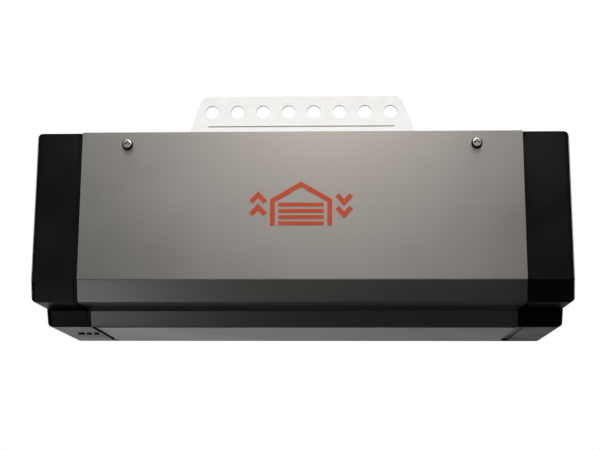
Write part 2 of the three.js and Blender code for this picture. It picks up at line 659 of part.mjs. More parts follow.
// A swept outline turned about its own sweep axis, more the farther along it lies.
function twistedZ(outline, halfLength, steps, radiansPerMillimetre) {
  const geometry = new THREE.ExtrudeGeometry(new THREE.Shape(outline), {
    depth: 2 * halfLength,
    steps,
    bevelEnabled: false,
  });
  geometry.translate(0, 0, -halfLength);
  const place = geometry.getAttribute("position");
  const corner = new THREE.Vector3();
  for (let i = 0; i < place.count; i += 1) {
    corner.fromBufferAttribute(place, i);
    corner.applyAxisAngle(AXIS_Z, corner.z * radiansPerMillimetre);
    place.setXYZ(i, corner.x, corner.y, corner.z);
  }
  return geometry;
}

// The section of a single-start thread square to its axis: the flank's slope becomes a cam's rise.
function wormSection() {
  const halfAt = (radius) => THREAD_HALF - (radius - WORM_RADIUS) * TOOTH_FLANK;
  const angleAt = (radius) => (halfAt(radius) * 2 * Math.PI) / GEAR_PITCH;
  const crest = angleAt(WORM_TIP);
  const foot = angleAt(WORM_ROOT);
  const rise = 3;
  const corners = [];
  const polar = (radius, angle) =>
    corners.push(new THREE.Vector2(radius * Math.cos(angle), radius * Math.sin(angle)));
  for (let i = 0; i <= rise; i += 1) {
    const part = i / rise;
    polar(WORM_ROOT + part * (WORM_TIP - WORM_ROOT), -foot + part * (foot - crest));
  }
  polar(WORM_TIP, 0);
  for (let i = rise; i >= 0; i -= 1) {
    const part = i / rise;
    polar(WORM_ROOT + part * (WORM_TIP - WORM_ROOT), foot - part * (foot - crest));
  }
  const rootSteps = 6;
  for (let i = 1; i < rootSteps; i += 1) {
    polar(WORM_ROOT, foot + (i * 2 * (Math.PI - foot)) / rootSteps);
  }
  return corners;
}

// The thread's middle faces the wheel, along +Y, at the worm's mid-length.
function worm() {
  const stepsPerTurn = 10;
  const steps = Math.round((2 * WORM_HALF_LENGTH * stepsPerTurn) / GEAR_PITCH);
  const thread = twistedZ(wormSection(), WORM_HALF_LENGTH, steps, (2 * Math.PI) / GEAR_PITCH);
  thread.applyMatrix4(new THREE.Matrix4().makeBasis(AXIS_Y, AXIS_Z, AXIS_X));
  const boreSpan = [-WORM_HALF_LENGTH - 1, WORM_HALF_LENGTH + 1];
  return cut(solidFrom(thread), rodX(MOTOR_SHAFT_RADIUS + GAP, boreSpan, 0, 0, 16));
}

// Straight-sided teeth, leaned to the worm's lead. A gap faces the worm, along -Y.
function wormWheel() {
  const corners = [];
  for (let tooth = 0; tooth < WHEEL_TEETH; tooth += 1) {
    const middle = (2 * Math.PI * (tooth + 0.5)) / WHEEL_TEETH;
    const root = (WHEEL_TOOTH_HALF + (WHEEL_RADIUS - WHEEL_ROOT) * TOOTH_FLANK) / WHEEL_RADIUS;
    const tip = (WHEEL_TOOTH_HALF - (WHEEL_TIP - WHEEL_RADIUS) * TOOTH_FLANK) / WHEEL_RADIUS;
    for (const [radius, angle] of [
      [WHEEL_ROOT, middle - root],
      [WHEEL_TIP, middle - tip],
      [WHEEL_TIP, middle + tip],
      [WHEEL_ROOT, middle + root],
    ]) {
      corners.push(new THREE.Vector2(radius * Math.cos(angle), radius * Math.sin(angle)));
    }
  }
  const teeth = solidFrom(twistedZ(corners, WHEEL_HALF_WIDTH, 2, LEAD_SLOPE / WHEEL_RADIUS));
  const hub = rodZ(WHEEL_HUB_RADIUS, [-WHEEL_HUB_HALF, WHEEL_HUB_HALF], 0, 0);
  const bore = rodZ(SHAFT_RADIUS + GAP, [-WHEEL_HUB_HALF - 1, WHEEL_HUB_HALF + 1], 0, 0);
  return cut(join(teeth, hub), bore);
}

// ---------------------------------------------------------------- gearbox

const GEARBOX_HALF = 34;
const GEARBOX_Y = [68, 142];
const GEARBOX_Z = [-50, -14];
const LID_THICKNESS = 3;
const LID_POST_X = 28;
const LID_POST_INSET = 6;
const LID_POST_RADIUS = 4;
const BEARING_BOSS_RADIUS = 14;
const HOUSING_WALL = 3;
const WHEEL_CHAMBER_FLOOR = 10;
const BUSH_SEAT = 21;
const BEARING_OUTER = 11;
const BEARING_INNER = 5;
const BEARING_HEIGHT = 7;
const BUSH_OUTER = 6;
const BUSH_INNER = MOTOR_SHAFT_RADIUS + RUNNING;

function gearboxHousing() {
  const [low, high] = GEARBOX_Z;
  const shell = block([-GEARBOX_HALF, GEARBOX_HALF], GEARBOX_Y, GEARBOX_Z);
  return cut(
    shell,
    rodZ(WHEEL_TIP + 1.5, [low + WHEEL_CHAMBER_FLOOR, high + 1], 0, SHAFT_Y, 40),
    rodZ(BEARING_OUTER + RUNNING, [low + HOUSING_WALL, low + WHEEL_CHAMBER_FLOOR + 1], 0, SHAFT_Y),
    rodX(WORM_TIP + 2, [-GEARBOX_HALF - 1, BUSH_SEAT + 1], WORM_Y, WHEEL_Z, 20),
    rodX(BUSH_OUTER + RUNNING, [BUSH_SEAT, GEARBOX_HALF + 1], WORM_Y, WHEEL_Z, 20),
  );
}

// The lid carries the upper bearing and four posts that reach the chassis plate.
function gearboxCover() {
  const seat = GEARBOX_Z[1] + GAP;
  const lidTop = seat + LID_THICKNESS;
  const chassisUnderside = -CHASSIS_SHEET - GAP;
  const posts = [-LID_POST_X, LID_POST_X].flatMap((x) =>
    [GEARBOX_Y[0] + LID_POST_INSET, GEARBOX_Y[1] - LID_POST_INSET].map((y) =>
      rodZ(LID_POST_RADIUS, [seat + 1, chassisUnderside], x, y, 12),
    ),
  );
  const lid = join(
    block([-GEARBOX_HALF, GEARBOX_HALF], GEARBOX_Y, [seat, lidTop]),
    rodZ(BEARING_BOSS_RADIUS, [seat, chassisUnderside], 0, SHAFT_Y),
    ...posts,
  );
  const bearingSeat = rodZ(BEARING_OUTER + RUNNING, [seat - 1, seat + BEARING_HEIGHT + 1], 0, SHAFT_Y);
  return cut(lid, bearingSeat, rodZ(SHAFT_HOLE_RADIUS, [-20, 0], 0, SHAFT_Y));
}

const ringZ = (outer, inner, [from, to], x, y) =>
  cut(rodZ(outer, [from, to], x, y), rodZ(inner, [from - 1, to + 1], x, y));
const ringX = (outer, inner, [from, to], y, z) =>
  cut(rodX(outer, [from, to], y, z), rodX(inner, [from - 1, to + 1], y, z));

const SPROCKET_TEETH = 10;
const CHAIN_PITCH = 9.525;
const SPROCKET_Z = [10, 15];
const SPROCKET_TIP = 17.4;
const SPROCKET_HUB_RADIUS = 9;
const SPROCKET_HUB_Z = [6, 18];
const CHAIN_ROLLER_RADIUS = 3.4;
const CIRCLIP_RADIUS = 7.5;
const CIRCLIP_GAP = 3;
const SHAFT_TOP = 21;

function driveSprocket() {
  const pitchRadius = CHAIN_PITCH / (2 * Math.sin(Math.PI / SPROCKET_TEETH));
  const rollers = [];
  for (let tooth = 0; tooth < SPROCKET_TEETH; tooth += 1) {
    const angle = (2 * Math.PI * tooth) / SPROCKET_TEETH;
    const x = pitchRadius * Math.cos(angle);
    const y = SHAFT_Y + pitchRadius * Math.sin(angle);
    rollers.push(rodZ(CHAIN_ROLLER_RADIUS, [SPROCKET_Z[0] - 1, SPROCKET_Z[1] + 1], x, y, 12));
  }
  const plate = cut(rodZ(SPROCKET_TIP, SPROCKET_Z, 0, SHAFT_Y, 40), ...rollers);
  const hub = rodZ(SPROCKET_HUB_RADIUS, SPROCKET_HUB_Z, 0, SHAFT_Y);
  return cut(join(plate, hub), rodZ(SHAFT_RADIUS + GAP, [0, SHAFT_TOP], 0, SHAFT_Y));
}

function circlip() {
  const seat = SPROCKET_HUB_Z[1] + GAP;
  const ring = ringZ(CIRCLIP_RADIUS, SHAFT_RADIUS + RUNNING, [seat, seat + 1.2], 0, SHAFT_Y);
  const mouthX = [-CIRCLIP_GAP / 2, CIRCLIP_GAP / 2];
  const mouth = block(mouthX, [SHAFT_Y, SHAFT_Y + CIRCLIP_RADIUS + 1], [0, SHAFT_TOP]);
  return cut(ring, mouth);
}

function addGearbox() {
  add("gearbox_housing", gearboxHousing(), castAluminium());
  add("gearbox_cover", gearboxCover(), castAluminium());
  const ringSpan = (start) => [start, start + BEARING_HEIGHT - 1];
  const lower = ringSpan(GEARBOX_Z[0] + HOUSING_WALL + RUNNING);
  const upper = ringSpan(GEARBOX_Z[1] + GAP + 1);
  add("lower_bearing", ringZ(BEARING_OUTER, BEARING_INNER, lower, 0, SHAFT_Y), brightSteel());
  add("upper_bearing", ringZ(BEARING_OUTER, BEARING_INNER, upper, 0, SHAFT_Y), brightSteel());
  add("worm_wheel", wormWheel(), nylon(), [0, SHAFT_Y, WHEEL_Z]);
  const shaftSpan = [GEARBOX_Z[0] + HOUSING_WALL + GAP, SHAFT_TOP];
  add("output_shaft", rodZ(SHAFT_RADIUS, shaftSpan, 0, SHAFT_Y), brightSteel());
  add("drive_sprocket", driveSprocket(), darkIron());
  add("shaft_circlip", circlip(), darkIron());
}

// ---------------------------------------------------------------- motor

const CAN_RADIUS = 27;
const CAN_WALL = 2;
const CAN_FRONT = -GEARBOX_HALF - GAP;
const CAN_LENGTH = 70;
const CAN_REAR = CAN_FRONT - CAN_LENGTH;
const BELL_THICKNESS = 7.5;
const BELL_REAR = CAN_REAR - GAP - BELL_THICKNESS;
const BELL_POST_Y = 14;
const MAGNET_INNER = 21.2;
const MAGNET_HALF_WIDTH = 22;
const MAGNET_START = 8;
const MAGNET_SPAN = [-95, -45];
const ARMATURE_SPAN = [-88, -50];
const ARMATURE_RADIUS = 20;
const ARMATURE_SLOTS = 5;
const SLOT_RADIUS = 4;
const SLOT_CENTRE = 14;
const COMMUTATOR_SPAN = [-101, -92];
const MOTOR_SHAFT_SPAN = [-120, 30];
const ENCODER_SPAN = [-118.5, -115.5];
const HALL_BOARD_SPAN = [-124.5, -123];

function motorCan() {
  return cut(
    rodX(CAN_RADIUS, [CAN_REAR, CAN_FRONT], WORM_Y, WHEEL_Z, 40),
    rodX(CAN_RADIUS - CAN_WALL, [CAN_REAR - 1, CAN_FRONT - CAN_WALL], WORM_Y, WHEEL_Z, 40),
    rodX(BUSH_OUTER + 1, [CAN_REAR, CAN_FRONT + 1], WORM_Y, WHEEL_Z),
  );
}

function motorEndBell() {
  const posts = [-BELL_POST_Y, BELL_POST_Y].map((y) =>
    rodX(2, [HALL_BOARD_SPAN[1] + GAP, BELL_REAR + 1], WORM_Y + y, WHEEL_Z, 10),
  );
  const bell = join(rodX(CAN_RADIUS, [BELL_REAR, CAN_REAR - GAP], WORM_Y, WHEEL_Z, 40), ...posts);
  return cut(bell, rodX(BUSH_OUTER + RUNNING, [BELL_REAR - 1, CAN_REAR + 1], WORM_Y, WHEEL_Z));
}

// A magnet is the part of a ring that lies above or below the armature.
function magnet(side) {
  const ring = ringX(CAN_RADIUS - CAN_WALL - GAP, MAGNET_INNER, MAGNET_SPAN, WORM_Y, WHEEL_Z);
  const arc = block(
    MAGNET_SPAN,
    [WORM_Y - MAGNET_HALF_WIDTH, WORM_Y + MAGNET_HALF_WIDTH],
    [WHEEL_Z + side * MAGNET_START, WHEEL_Z + side * CAN_RADIUS],
  );
  return ring.intersect(arc);
}

function armatureCore() {
  const through = [ARMATURE_SPAN[0] - 1, ARMATURE_SPAN[1] + 1];
  const slots = [];
  for (let slot = 0; slot < ARMATURE_SLOTS; slot += 1) {
    const angle = (2 * Math.PI * slot) / ARMATURE_SLOTS;
    const y = WORM_Y + SLOT_CENTRE * Math.cos(angle);
    const z = WHEEL_Z + SLOT_CENTRE * Math.sin(angle);
    slots.push(rodX(SLOT_RADIUS, through, y, z, 10));
  }
  return cut(
    rodX(ARMATURE_RADIUS, ARMATURE_SPAN, WORM_Y, WHEEL_Z, 30),
    ...slots,
    rodX(MOTOR_SHAFT_RADIUS + GAP, through, WORM_Y, WHEEL_Z, 16),
  );
}

function addMotor() {
  add("motor_can", motorCan(), darkIron());
  add("motor_end_bell", motorEndBell(), blackPlastic());
  add("magnet_upper", magnet(1), darkIron());
  add("magnet_lower", magnet(-1), darkIron());
  const boreRadius = MOTOR_SHAFT_RADIUS + GAP;
  const rearBush = [BELL_REAR + 0.5, CAN_REAR - GAP - 0.5];
  const wormBush = [BUSH_SEAT + 3, GEARBOX_HALF - 1];
  add("motor_rear_bush", ringX(BUSH_OUTER, BUSH_INNER, rearBush, WORM_Y, WHEEL_Z), bronze());
  add("worm_bush", ringX(BUSH_OUTER, BUSH_INNER, wormBush, WORM_Y, WHEEL_Z), bronze());
  add("armature_shaft", rodX(MOTOR_SHAFT_RADIUS, MOTOR_SHAFT_SPAN, WORM_Y, WHEEL_Z, 16), brightSteel());
  add("worm", worm(), brightSteel(), [0, WORM_Y, WHEEL_Z]);
  add("armature_core", armatureCore(), darkIron());
  add("commutator", ringX(8, boreRadius, COMMUTATOR_SPAN, WORM_Y, WHEEL_Z), copper());
  add("encoder_magnet", ringX(11, boreRadius, ENCODER_SPAN, WORM_Y, WHEEL_Z), darkIron());
  const hallBoard = block(HALL_BOARD_SPAN, [WORM_Y - 17, WORM_Y + 17], [WHEEL_Z - 8, WHEEL_Z + 8]);
  add("hall_sensor_board", hallBoard, circuitBoard());
}

// ---------------------------------------------------------------- transformer and electronics

const CORE_X = 95;
const CORE_Y = 88;
const CORE_HALF_WIDTH = 33;
const CORE_HALF_DEPTH = 17;
const CORE_Z = [-66, -10];
const WINDOW_X = [11, 22];
const WINDOW_Z = [-55, -21];
const COIL_PROUD = 10;
const STRAP_HALF_WIDTH = 12;
const STRAP_SHEET = 1.2;
const STRAP_FOOT = 11;

function transformerCore() {
  const depth = [CORE_Y - CORE_HALF_DEPTH, CORE_Y + CORE_HALF_DEPTH];
  const windows = [-1, 1].map((side) =>
    block(WINDOW_X.map((x) => CORE_X + side * x), [depth[0] - 1, depth[1] + 1], WINDOW_Z),
  );
  return cut(block([CORE_X - CORE_HALF_WIDTH, CORE_X + CORE_HALF_WIDTH], depth, CORE_Z), ...windows);
}

function transformerCoil() {
  const z = [WINDOW_Z[0] + GAP, WINDOW_Z[1] - GAP];
  const around = (halfX, halfY, height) =>
    block([CORE_X - halfX, CORE_X + halfX], [CORE_Y - halfY, CORE_Y + halfY], height);
  const leg = around(WINDOW_X[0] + GAP, CORE_HALF_DEPTH + GAP, [z[0] - 1, z[1] + 1]);
  return cut(around(WINDOW_X[1] - GAP, CORE_HALF_DEPTH + COIL_PROUD, z), leg);
}

// A strap round the core with two feet under the chassis plate.
function transformerStrap() {
  const y = [CORE_Y - STRAP_HALF_WIDTH, CORE_Y + STRAP_HALF_WIDTH];
  const inner = CORE_HALF_WIDTH + GAP;
  const top = -CHASSIS_SHEET - GAP;
  const bottom = CORE_Z[0] - GAP;
  const sides = [-1, 1].flatMap((side) => {
    const at = (reach) => [CORE_X + side * inner, CORE_X + side * (inner + reach)];
    return [
      block(at(STRAP_SHEET), y, [bottom - STRAP_SHEET, top]),
      block(at(STRAP_FOOT), y, [top - STRAP_SHEET, top]),
    ];
  });
  const floor = block([CORE_X - inner, CORE_X + inner], y, [bottom - STRAP_SHEET, bottom]);
  return join(floor, ...sides);
}

const BOARD_X = [-62, 108];
const BOARD_Y = [12, 13.6];
const BOARD_Z = [-100, -28];
const COMPONENT_Y = BOARD_Y[1] + GAP;
const BOARD_BRACKET_Y = [8, 9.2];
const BOARD_BRACKET_FOOT = 20;
const SPACER_RADIUS = 3;
const SPACER_INSET = 5;

function boardBracket() {
  const [front, face] = BOARD_BRACKET_Y;
  const top = -CHASSIS_SHEET - GAP;
  const x = [BOARD_X[0] - SPACER_INSET, BOARD_X[1] + SPACER_INSET];
  const spacers = [BOARD_X[0] + SPACER_INSET, BOARD_X[1] - SPACER_INSET].flatMap((atX) =>
    [BOARD_Z[0] + SPACER_INSET, BOARD_Z[1] - SPACER_INSET].map((z) =>
      rodY(SPACER_RADIUS, [face - 0.5, BOARD_Y[0] - GAP], atX, z, 10),
    ),
  );
  return join(
    block(x, BOARD_BRACKET_Y, [BOARD_Z[0] - 2, top]),
    block(x, [front, BOARD_BRACKET_FOOT], [top - STRAP_SHEET, top]),
    ...spacers,
  );
}

function mainsInlet() {
  const around = (halfX, y, halfZ) =>
    block([INLET_X - halfX, INLET_X + halfX], y, [INLET_Z - halfZ, INLET_Z + halfZ]);
  const flange = around(INLET_HALF_WIDTH + 4, [REAR_Y + GAP, REAR_Y + 2.3], INLET_HALF_HEIGHT + 3);
  const body = around(INLET_HALF_WIDTH, [REAR_Y - INLET_DEPTH, REAR_Y + 1], INLET_HALF_HEIGHT);
  const socketY = [REAR_Y - INLET_SOCKET_DEPTH, REAR_Y + PAST];
  const socket = around(INLET_HALF_WIDTH - INLET_WALL, socketY, INLET_HALF_HEIGHT - INLET_WALL);
  return cut(join(flange, body), socket);
}

function addElectronics() {
  add("transformer_core", transformerCore(), darkIron());
  add("transformer_coil", transformerCoil(), copper());
  add("transformer_strap", transformerStrap(), galvanised());
  add("board_bracket", boardBracket(), galvanised());
  add("control_board", block(BOARD_X, BOARD_Y, BOARD_Z), circuitBoard());
  const onBoard = (x, height, z) => block(x, [COMPONENT_Y, COMPONENT_Y + height], z);
  add("relay_open", onBoard([-50, -31], 15, [-60, -45]), greyPlastic());
  add("relay_close", onBoard([-50, -31], 15, [-82, -67]), greyPlastic());
  add("smoothing_capacitor", rodY(11, [COMPONENT_Y, COMPONENT_Y + 30], 12, -62), blackPlastic());
  add("terminal_block", onBoard([50, 98], 11, [-98, -86]), greyPlastic());
  add("radio_module", onBoard([62, 96], 4, [-62, -40]), circuitBoard());
  add("mains_inlet", mainsInlet(), blackPlastic());
}

// ---------------------------------------------------------------- the whole

add("chassis_plate", chassisPlate(), galvanised());
add("front_hood", frontHood(), brushedSteel());
add("rear_cover", rearCover(), galvanised());
addCaseScrews();
addEndCaps();
addButtons();
addLamp();
addRailSeat();
addGearbox();
addMotor();
addElectronics();

housingFrame.position.set(-BRACKET_X, -BRACKET_Y, -HOLE_ROW_Z);

const opener = new THREE.Group();
opener.add(housingFrame);

export default opener;
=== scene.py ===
"""Looks for a garage door opener head: materials, fine pieces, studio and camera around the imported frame."""

import json
import math

import bmesh
import bpy
from mathutils import Matrix, Vector


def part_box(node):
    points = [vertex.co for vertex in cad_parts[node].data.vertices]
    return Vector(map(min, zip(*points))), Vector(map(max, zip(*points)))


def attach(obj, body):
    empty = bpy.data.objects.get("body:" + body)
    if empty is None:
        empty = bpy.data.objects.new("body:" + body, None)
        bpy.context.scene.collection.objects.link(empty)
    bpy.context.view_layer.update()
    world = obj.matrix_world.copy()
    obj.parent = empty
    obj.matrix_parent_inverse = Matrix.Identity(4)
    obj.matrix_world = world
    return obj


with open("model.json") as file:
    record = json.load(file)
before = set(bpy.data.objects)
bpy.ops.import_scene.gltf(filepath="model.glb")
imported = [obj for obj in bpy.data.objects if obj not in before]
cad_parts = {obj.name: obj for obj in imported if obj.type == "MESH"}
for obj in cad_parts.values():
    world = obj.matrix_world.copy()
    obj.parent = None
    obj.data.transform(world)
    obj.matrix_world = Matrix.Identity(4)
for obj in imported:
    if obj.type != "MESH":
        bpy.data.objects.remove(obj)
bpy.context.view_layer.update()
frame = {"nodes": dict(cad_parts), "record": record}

MM = 0.001
MICRON = 0.001 * MM
HEAD = "head"
NODES = frame["nodes"]

# ---------------------------------------------------------------- places taken from the frame

HOOD_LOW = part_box("front_hood")[0]
CAP_LEFT_LOW, CAP_LEFT_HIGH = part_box("end_cap_left")
CAP_RIGHT_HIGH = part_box("end_cap_right")[1]
CENTRE_X = (CAP_LEFT_LOW.x + CAP_RIGHT_HIGH.x) / 2
FRONT_Y = HOOD_LOW.y
TOP_Z = CAP_LEFT_HIGH.z
BOTTOM_Z = HOOD_LOW.z

# ---------------------------------------------------------------- material nodes

MIX_FACTOR, MIX_A, MIX_B, MIX_RESULT = 0, 6, 7, 2  # the colour sockets of a Mix node


class Surface:
    """A Principled material whose inputs can be driven by noise in the object's own coordinates."""

    def __init__(self, name, color, roughness, metallic=0.0, **constants):
        self.material = bpy.data.materials.new(name)
        self.material.use_nodes = True
        self.tree = self.material.node_tree
        self.tree.nodes.clear()
        self.output = self.tree.nodes.new("ShaderNodeOutputMaterial")
        self.shader = self.tree.nodes.new("ShaderNodeBsdfPrincipled")
        self.tree.links.new(self.shader.outputs["BSDF"], self.output.inputs["Surface"])
        self.place = self.tree.nodes.new("ShaderNodeTexCoord").outputs["Object"]
        self.set("Base Color", (*color, 1.0))
        self.set("Roughness", roughness)
        self.set("Metallic", metallic)
        for socket, value in constants.items():
            self.set(socket.replace("_", " "), value)
        self.normal = None

    def set(self, socket, value):
        self.shader.inputs[socket].default_value = value

    def link(self, source, target):
        self.tree.links.new(source, target)

    def stretched(self, scale):
        """The object's own coordinates times a number, or a number for each axis."""
        mapping = self.tree.nodes.new("ShaderNodeMapping")
        mapping.inputs["Scale"].default_value = scale if isinstance(scale, tuple) else (scale,) * 3
        self.link(self.place, mapping.inputs["Vector"])
        return mapping.outputs["Vector"]

    def noise(self, scale, detail=3.0, roughness=0.6):
        """Noise with so many features per metre, the same or one number for each axis."""
        node = self.tree.nodes.new("ShaderNodeTexNoise")
        node.inputs["Scale"].default_value = 1.0
        node.inputs["Detail"].default_value = detail
        node.inputs["Roughness"].default_value = roughness
        self.link(self.stretched(scale), node.inputs["Vector"])
        return node.outputs["Fac"]

    def cells(self, scale):
        """Distance to the middle of the nearest of so many cells per metre."""
        node = self.tree.nodes.new("ShaderNodeTexVoronoi")
        node.inputs["Scale"].default_value = 1.0
        self.link(self.stretched(scale), node.inputs["Vector"])
        return node.outputs["Distance"]

    def ranged(self, source, low, high, start=0.35, end=0.65):
        """A 0 to 1 signal brought to a range, with its ends cut at start and end."""
        node = self.tree.nodes.new("ShaderNodeMapRange")
        node.inputs["From Min"].default_value = start
        node.inputs["From Max"].default_value = end
        node.inputs["To Min"].default_value = low
        node.inputs["To Max"].default_value = high
        self.link(source, node.inputs["Value"])
        return node.outputs["Result"]

    def blended(self, factor, first, second):
        """From the first colour to the second; each is three numbers or another node's output."""
        node = self.tree.nodes.new("ShaderNodeMix")
        node.data_type = "RGBA"
        for index, color in ((MIX_A, first), (MIX_B, second)):
            if isinstance(color, tuple):
                node.inputs[index].default_value = (*color, 1.0)
            else:
                self.link(color, node.inputs[index])
        self.link(factor, node.inputs[MIX_FACTOR])
        return node.outputs[MIX_RESULT]

    def color_from(self, factor, first, second):
        self.link(self.blended(factor, first, second), self.shader.inputs["Base Color"])

    def roughness_from(self, source, low, high):
        self.link(self.ranged(source, low, high), self.shader.inputs["Roughness"])

    def bump(self, height, distance, strength=1.0):
        """Adds relief of so many metres on top of what is already there."""
        node = self.tree.nodes.new("ShaderNodeBump")
        node.inputs["Distance"].default_value = distance
        node.inputs["Strength"].default_value = strength
        self.link(height, node.inputs["Height"])
        if self.normal is not None:
            self.link(self.normal, node.inputs["Normal"])
        self.normal = node.outputs["Normal"]
        self.link(self.normal, self.shader.inputs["Normal"])

    def worn_edges(self, start=0.52, end=0.62):
        """1 on convex edges, 0 elsewhere, from the mesh's pointiness."""
        geometry = self.tree.nodes.new("ShaderNodeNewGeometry")
        return self.ranged(geometry.outputs["Pointiness"], 0.0, 1.0, start, end)

    def axis(self, output, letter):
        node = self.tree.nodes.new("ShaderNodeSeparateXYZ")
        self.link(output, node.inputs[0])
        return node.outputs[letter]

    def facing(self, letter):
        """1 where the surface is square to one of the object's axes, 0 where it runs along it."""
        normal = self.tree.nodes.new("ShaderNodeTexCoord").outputs["Normal"]
        return self.math("ABSOLUTE", self.axis(normal, letter))

    def math(self, operation, first, second=None):
        node = self.tree.nodes.new("ShaderNodeMath")
        node.operation = operation
        for socket, value in zip(node.inputs, (first, second)):
            if isinstance(value, float):
                socket.default_value = value
            elif value is not None:
                self.link(value, socket)
        return node.outputs[0]


def brushed_steel():
    """Stainless sheet, brushed along X."""
    brushed = {"Anisotropic": 0.5, "Anisotropic_Rotation": 0.25}
    surface = Surface("brushed_steel", (0.47, 0.462, 0.455), 0.36, metallic=1.0, **brushed)
    lines = surface.noise((4.0, 4.0, 1900.0), detail=5.0, roughness=0.75)
    bands = surface.noise((2.0, 2.0, 90.0), detail=2.0)
    hands = surface.noise((11.0, 11.0, 14.0), detail=4.0)
    shade = surface.ranged(lines, 0.0, 1.0, start=0.2, end=0.8)
    surface.color_from(shade, (0.436, 0.43, 0.423), (0.475, 0.468, 0.461))
    surface.roughness_from(hands, 0.355, 0.38)
    surface.bump(lines, 8 * MICRON, strength=0.5)
    surface.bump(bands, 10 * MICRON, strength=0.15)
    return surface.material


SPANGLE_COLORS = ((0.53, 0.54, 0.55), (0.42, 0.43, 0.445))
SPANGLE_SHARE = 0.6
TOP_PAINTED_SHADE = 0.45  # painted shade: dims the top sheets' colour, because they lie right under the overhead light


def galvanised(name, painted_shade=1.0):
    """Zinc-coated sheet with a fine spangle; a painted shade factor below 1 dims its colour."""
    surface = Surface(name, (0.5, 0.51, 0.52), 0.42, metallic=0.6)
    spangle = surface.ranged(surface.cells(260.0), 0.0, 1.0, start=0.0, end=0.9)
    shade = surface.math("MULTIPLY", spangle, SPANGLE_SHARE)
    # painted shade: both spangle colours are scaled down by the factor
    first, second = [tuple(channel * painted_shade for channel in color) for color in SPANGLE_COLORS]
    surface.color_from(shade, first, second)
    surface.roughness_from(surface.noise(80.0), 0.36, 0.5)
    surface.bump(surface.noise(1200.0), 20 * MICRON, strength=0.3)
    return surface.material


CUT_EDGE_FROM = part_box("suspension_bracket")[0].z + 8 * MM
CUT_EDGE_BELOW = 0.6  # of facing along Y
LEVEL_ABOVE = 0.9  # of facing along Z; faces above it get painted shade
CUT_STEEL = (0.16, 0.15, 0.14)
# painted shade for the bracket's level faces, which the overhead light lights hard
LEVEL_PAINTED_SHADE = (0.27, 0.27, 0.27)


def zinc_plated():
    """Bright zinc on the bracket, with painted shade on its level faces, and bare steel where its sheet was
    cut.
    """
    surface = Surface("zinc_plated", (0.97, 0.965, 0.955), 0.38)
    mottle = surface.noise(120.0, detail=4.0)
    frosted = surface.blended(surface.ranged(mottle, 0.0, 1.0), (0.935, 0.926, 0.918), (0.975, 0.97, 0.964))
    sideways = surface.math("LESS_THAN", surface.facing("Y"), CUT_EDGE_BELOW)
    upright = surface.math("GREATER_THAN", surface.axis(surface.place, "Z"), CUT_EDGE_FROM)
    edged = surface.blended(surface.math("MULTIPLY", sideways, upright), frosted, CUT_STEEL)
    # painted shade: faces square to Z get the dark colour, set by which way they face
    level_painted_shade = surface.math("GREATER_THAN", surface.facing("Z"), LEVEL_ABOVE)
    surface.color_from(level_painted_shade, edged, LEVEL_PAINTED_SHADE)
    surface.roughness_from(mottle, 0.34, 0.46)
    surface.bump(mottle, 20 * MICRON, strength=0.3)
    return surface.material


# painted shade for the rim and the cross recess of the pan heads
SCREW_RIM_PAINTED_SHADE = (0.03, 0.028, 0.026)


def screw_steel(name, letter):
    """Nickel-plated pan heads along one axis: a bright flat face, with painted shade on the rim and in the
    cross recess.
    """
    surface = Surface(name, (0.9, 0.89, 0.87), 0.3, metallic=1.0)
    scuffs = surface.noise(900.0, detail=4.0)
    plating = surface.blended(scuffs, (0.84, 0.83, 0.81), (0.98, 0.97, 0.95))
    flat = surface.ranged(surface.facing(letter), 0.0, 1.0, start=0.93, end=0.99)
    # painted shade: faces that don't face along the axis, the rim and the recess walls, take the near-black
    # colour
    surface.color_from(flat, SCREW_RIM_PAINTED_SHADE, plating)
    surface.roughness_from(scuffs, 0.26, 0.4)
    surface.bump(scuffs, 10 * MICRON, strength=0.4)
    return surface.material


def textured_plastic(name, color, light, roughness, gloss=0.5):
    """Moulded plastic with a fine spark-eroded grain and paler, smoother edges where it is handled."""
    surface = Surface(name, color, roughness, Specular_IOR_Level=gloss)
    texture = surface.noise(1300.0, detail=3.0, roughness=0.55)
    handling = surface.noise(14.0, detail=3.0)
    wear = surface.math("MAXIMUM", surface.ranged(handling, 0.0, 0.6), surface.worn_edges())
    surface.color_from(wear, color, light)
    surface.roughness_from(handling, roughness - 0.04, roughness + 0.08)
    surface.bump(texture, 40 * MICRON, strength=0.5)
    return surface.material


def opal_diffuser():
    """Milky plastic with a slight gloss, faint ribs and dust."""
    surface = Surface("opal", (0.86, 0.86, 0.84), 0.24, Specular_IOR_Level=1.0)
    ribs = surface.noise(240.0, detail=2.0)
    dust = surface.noise(22.0, detail=4.0)
    surface.color_from(surface.ranged(dust, 0.0, 1.0), (0.83, 0.83, 0.81), (0.89, 0.89, 0.87))
    surface.roughness_from(dust, 0.22, 0.26)
    surface.bump(ribs, 10 * MICRON, strength=0.25)
    return surface.material


def circuit_board():
    """Green solder mask with the faint relief of traces."""
    surface = Surface("circuit_board", (0.02, 0.13, 0.06), 0.3)
    traces = surface.ranged(surface.cells(420.0), 0.0, 1.0, start=0.2, end=0.5)
    surface.color_from(traces, (0.016, 0.1, 0.045), (0.03, 0.19, 0.09))
    surface.bump(traces, 20 * MICRON, strength=0.3)
    return surface.material


def printed_ink():
    """Red-orange screen print, slightly thin in places."""
    surface = Surface("printed_ink", (0.68, 0.095, 0.035), 0.45)
    wear = surface.noise((1200.0, 1200.0, 300.0), detail=3.0)
    shade = surface.ranged(wear, 0.0, 1.0, start=0.3, end=0.7)
    surface.color_from(shade, (0.63, 0.082, 0.03), (0.73, 0.105, 0.04))
    surface.roughness_from(wear, 0.36, 0.5)
    surface.bump(wear, 10 * MICRON, strength=0.3)
    return surface.material


def grained(name, base, metallic, grain, colors, polish, relief):
    """A finish whose colour, roughness and relief all follow one noise."""
    color, roughness = base
    surface = Surface(name, color, roughness, metallic)
    scale, detail = grain
    skin = surface.noise(scale, detail=detail)
    surface.color_from(skin, *colors)
    if polish:
        surface.roughness_from(skin, *polish)
    height, strength = relief
    surface.bump(skin, height, strength)
    return surface.material


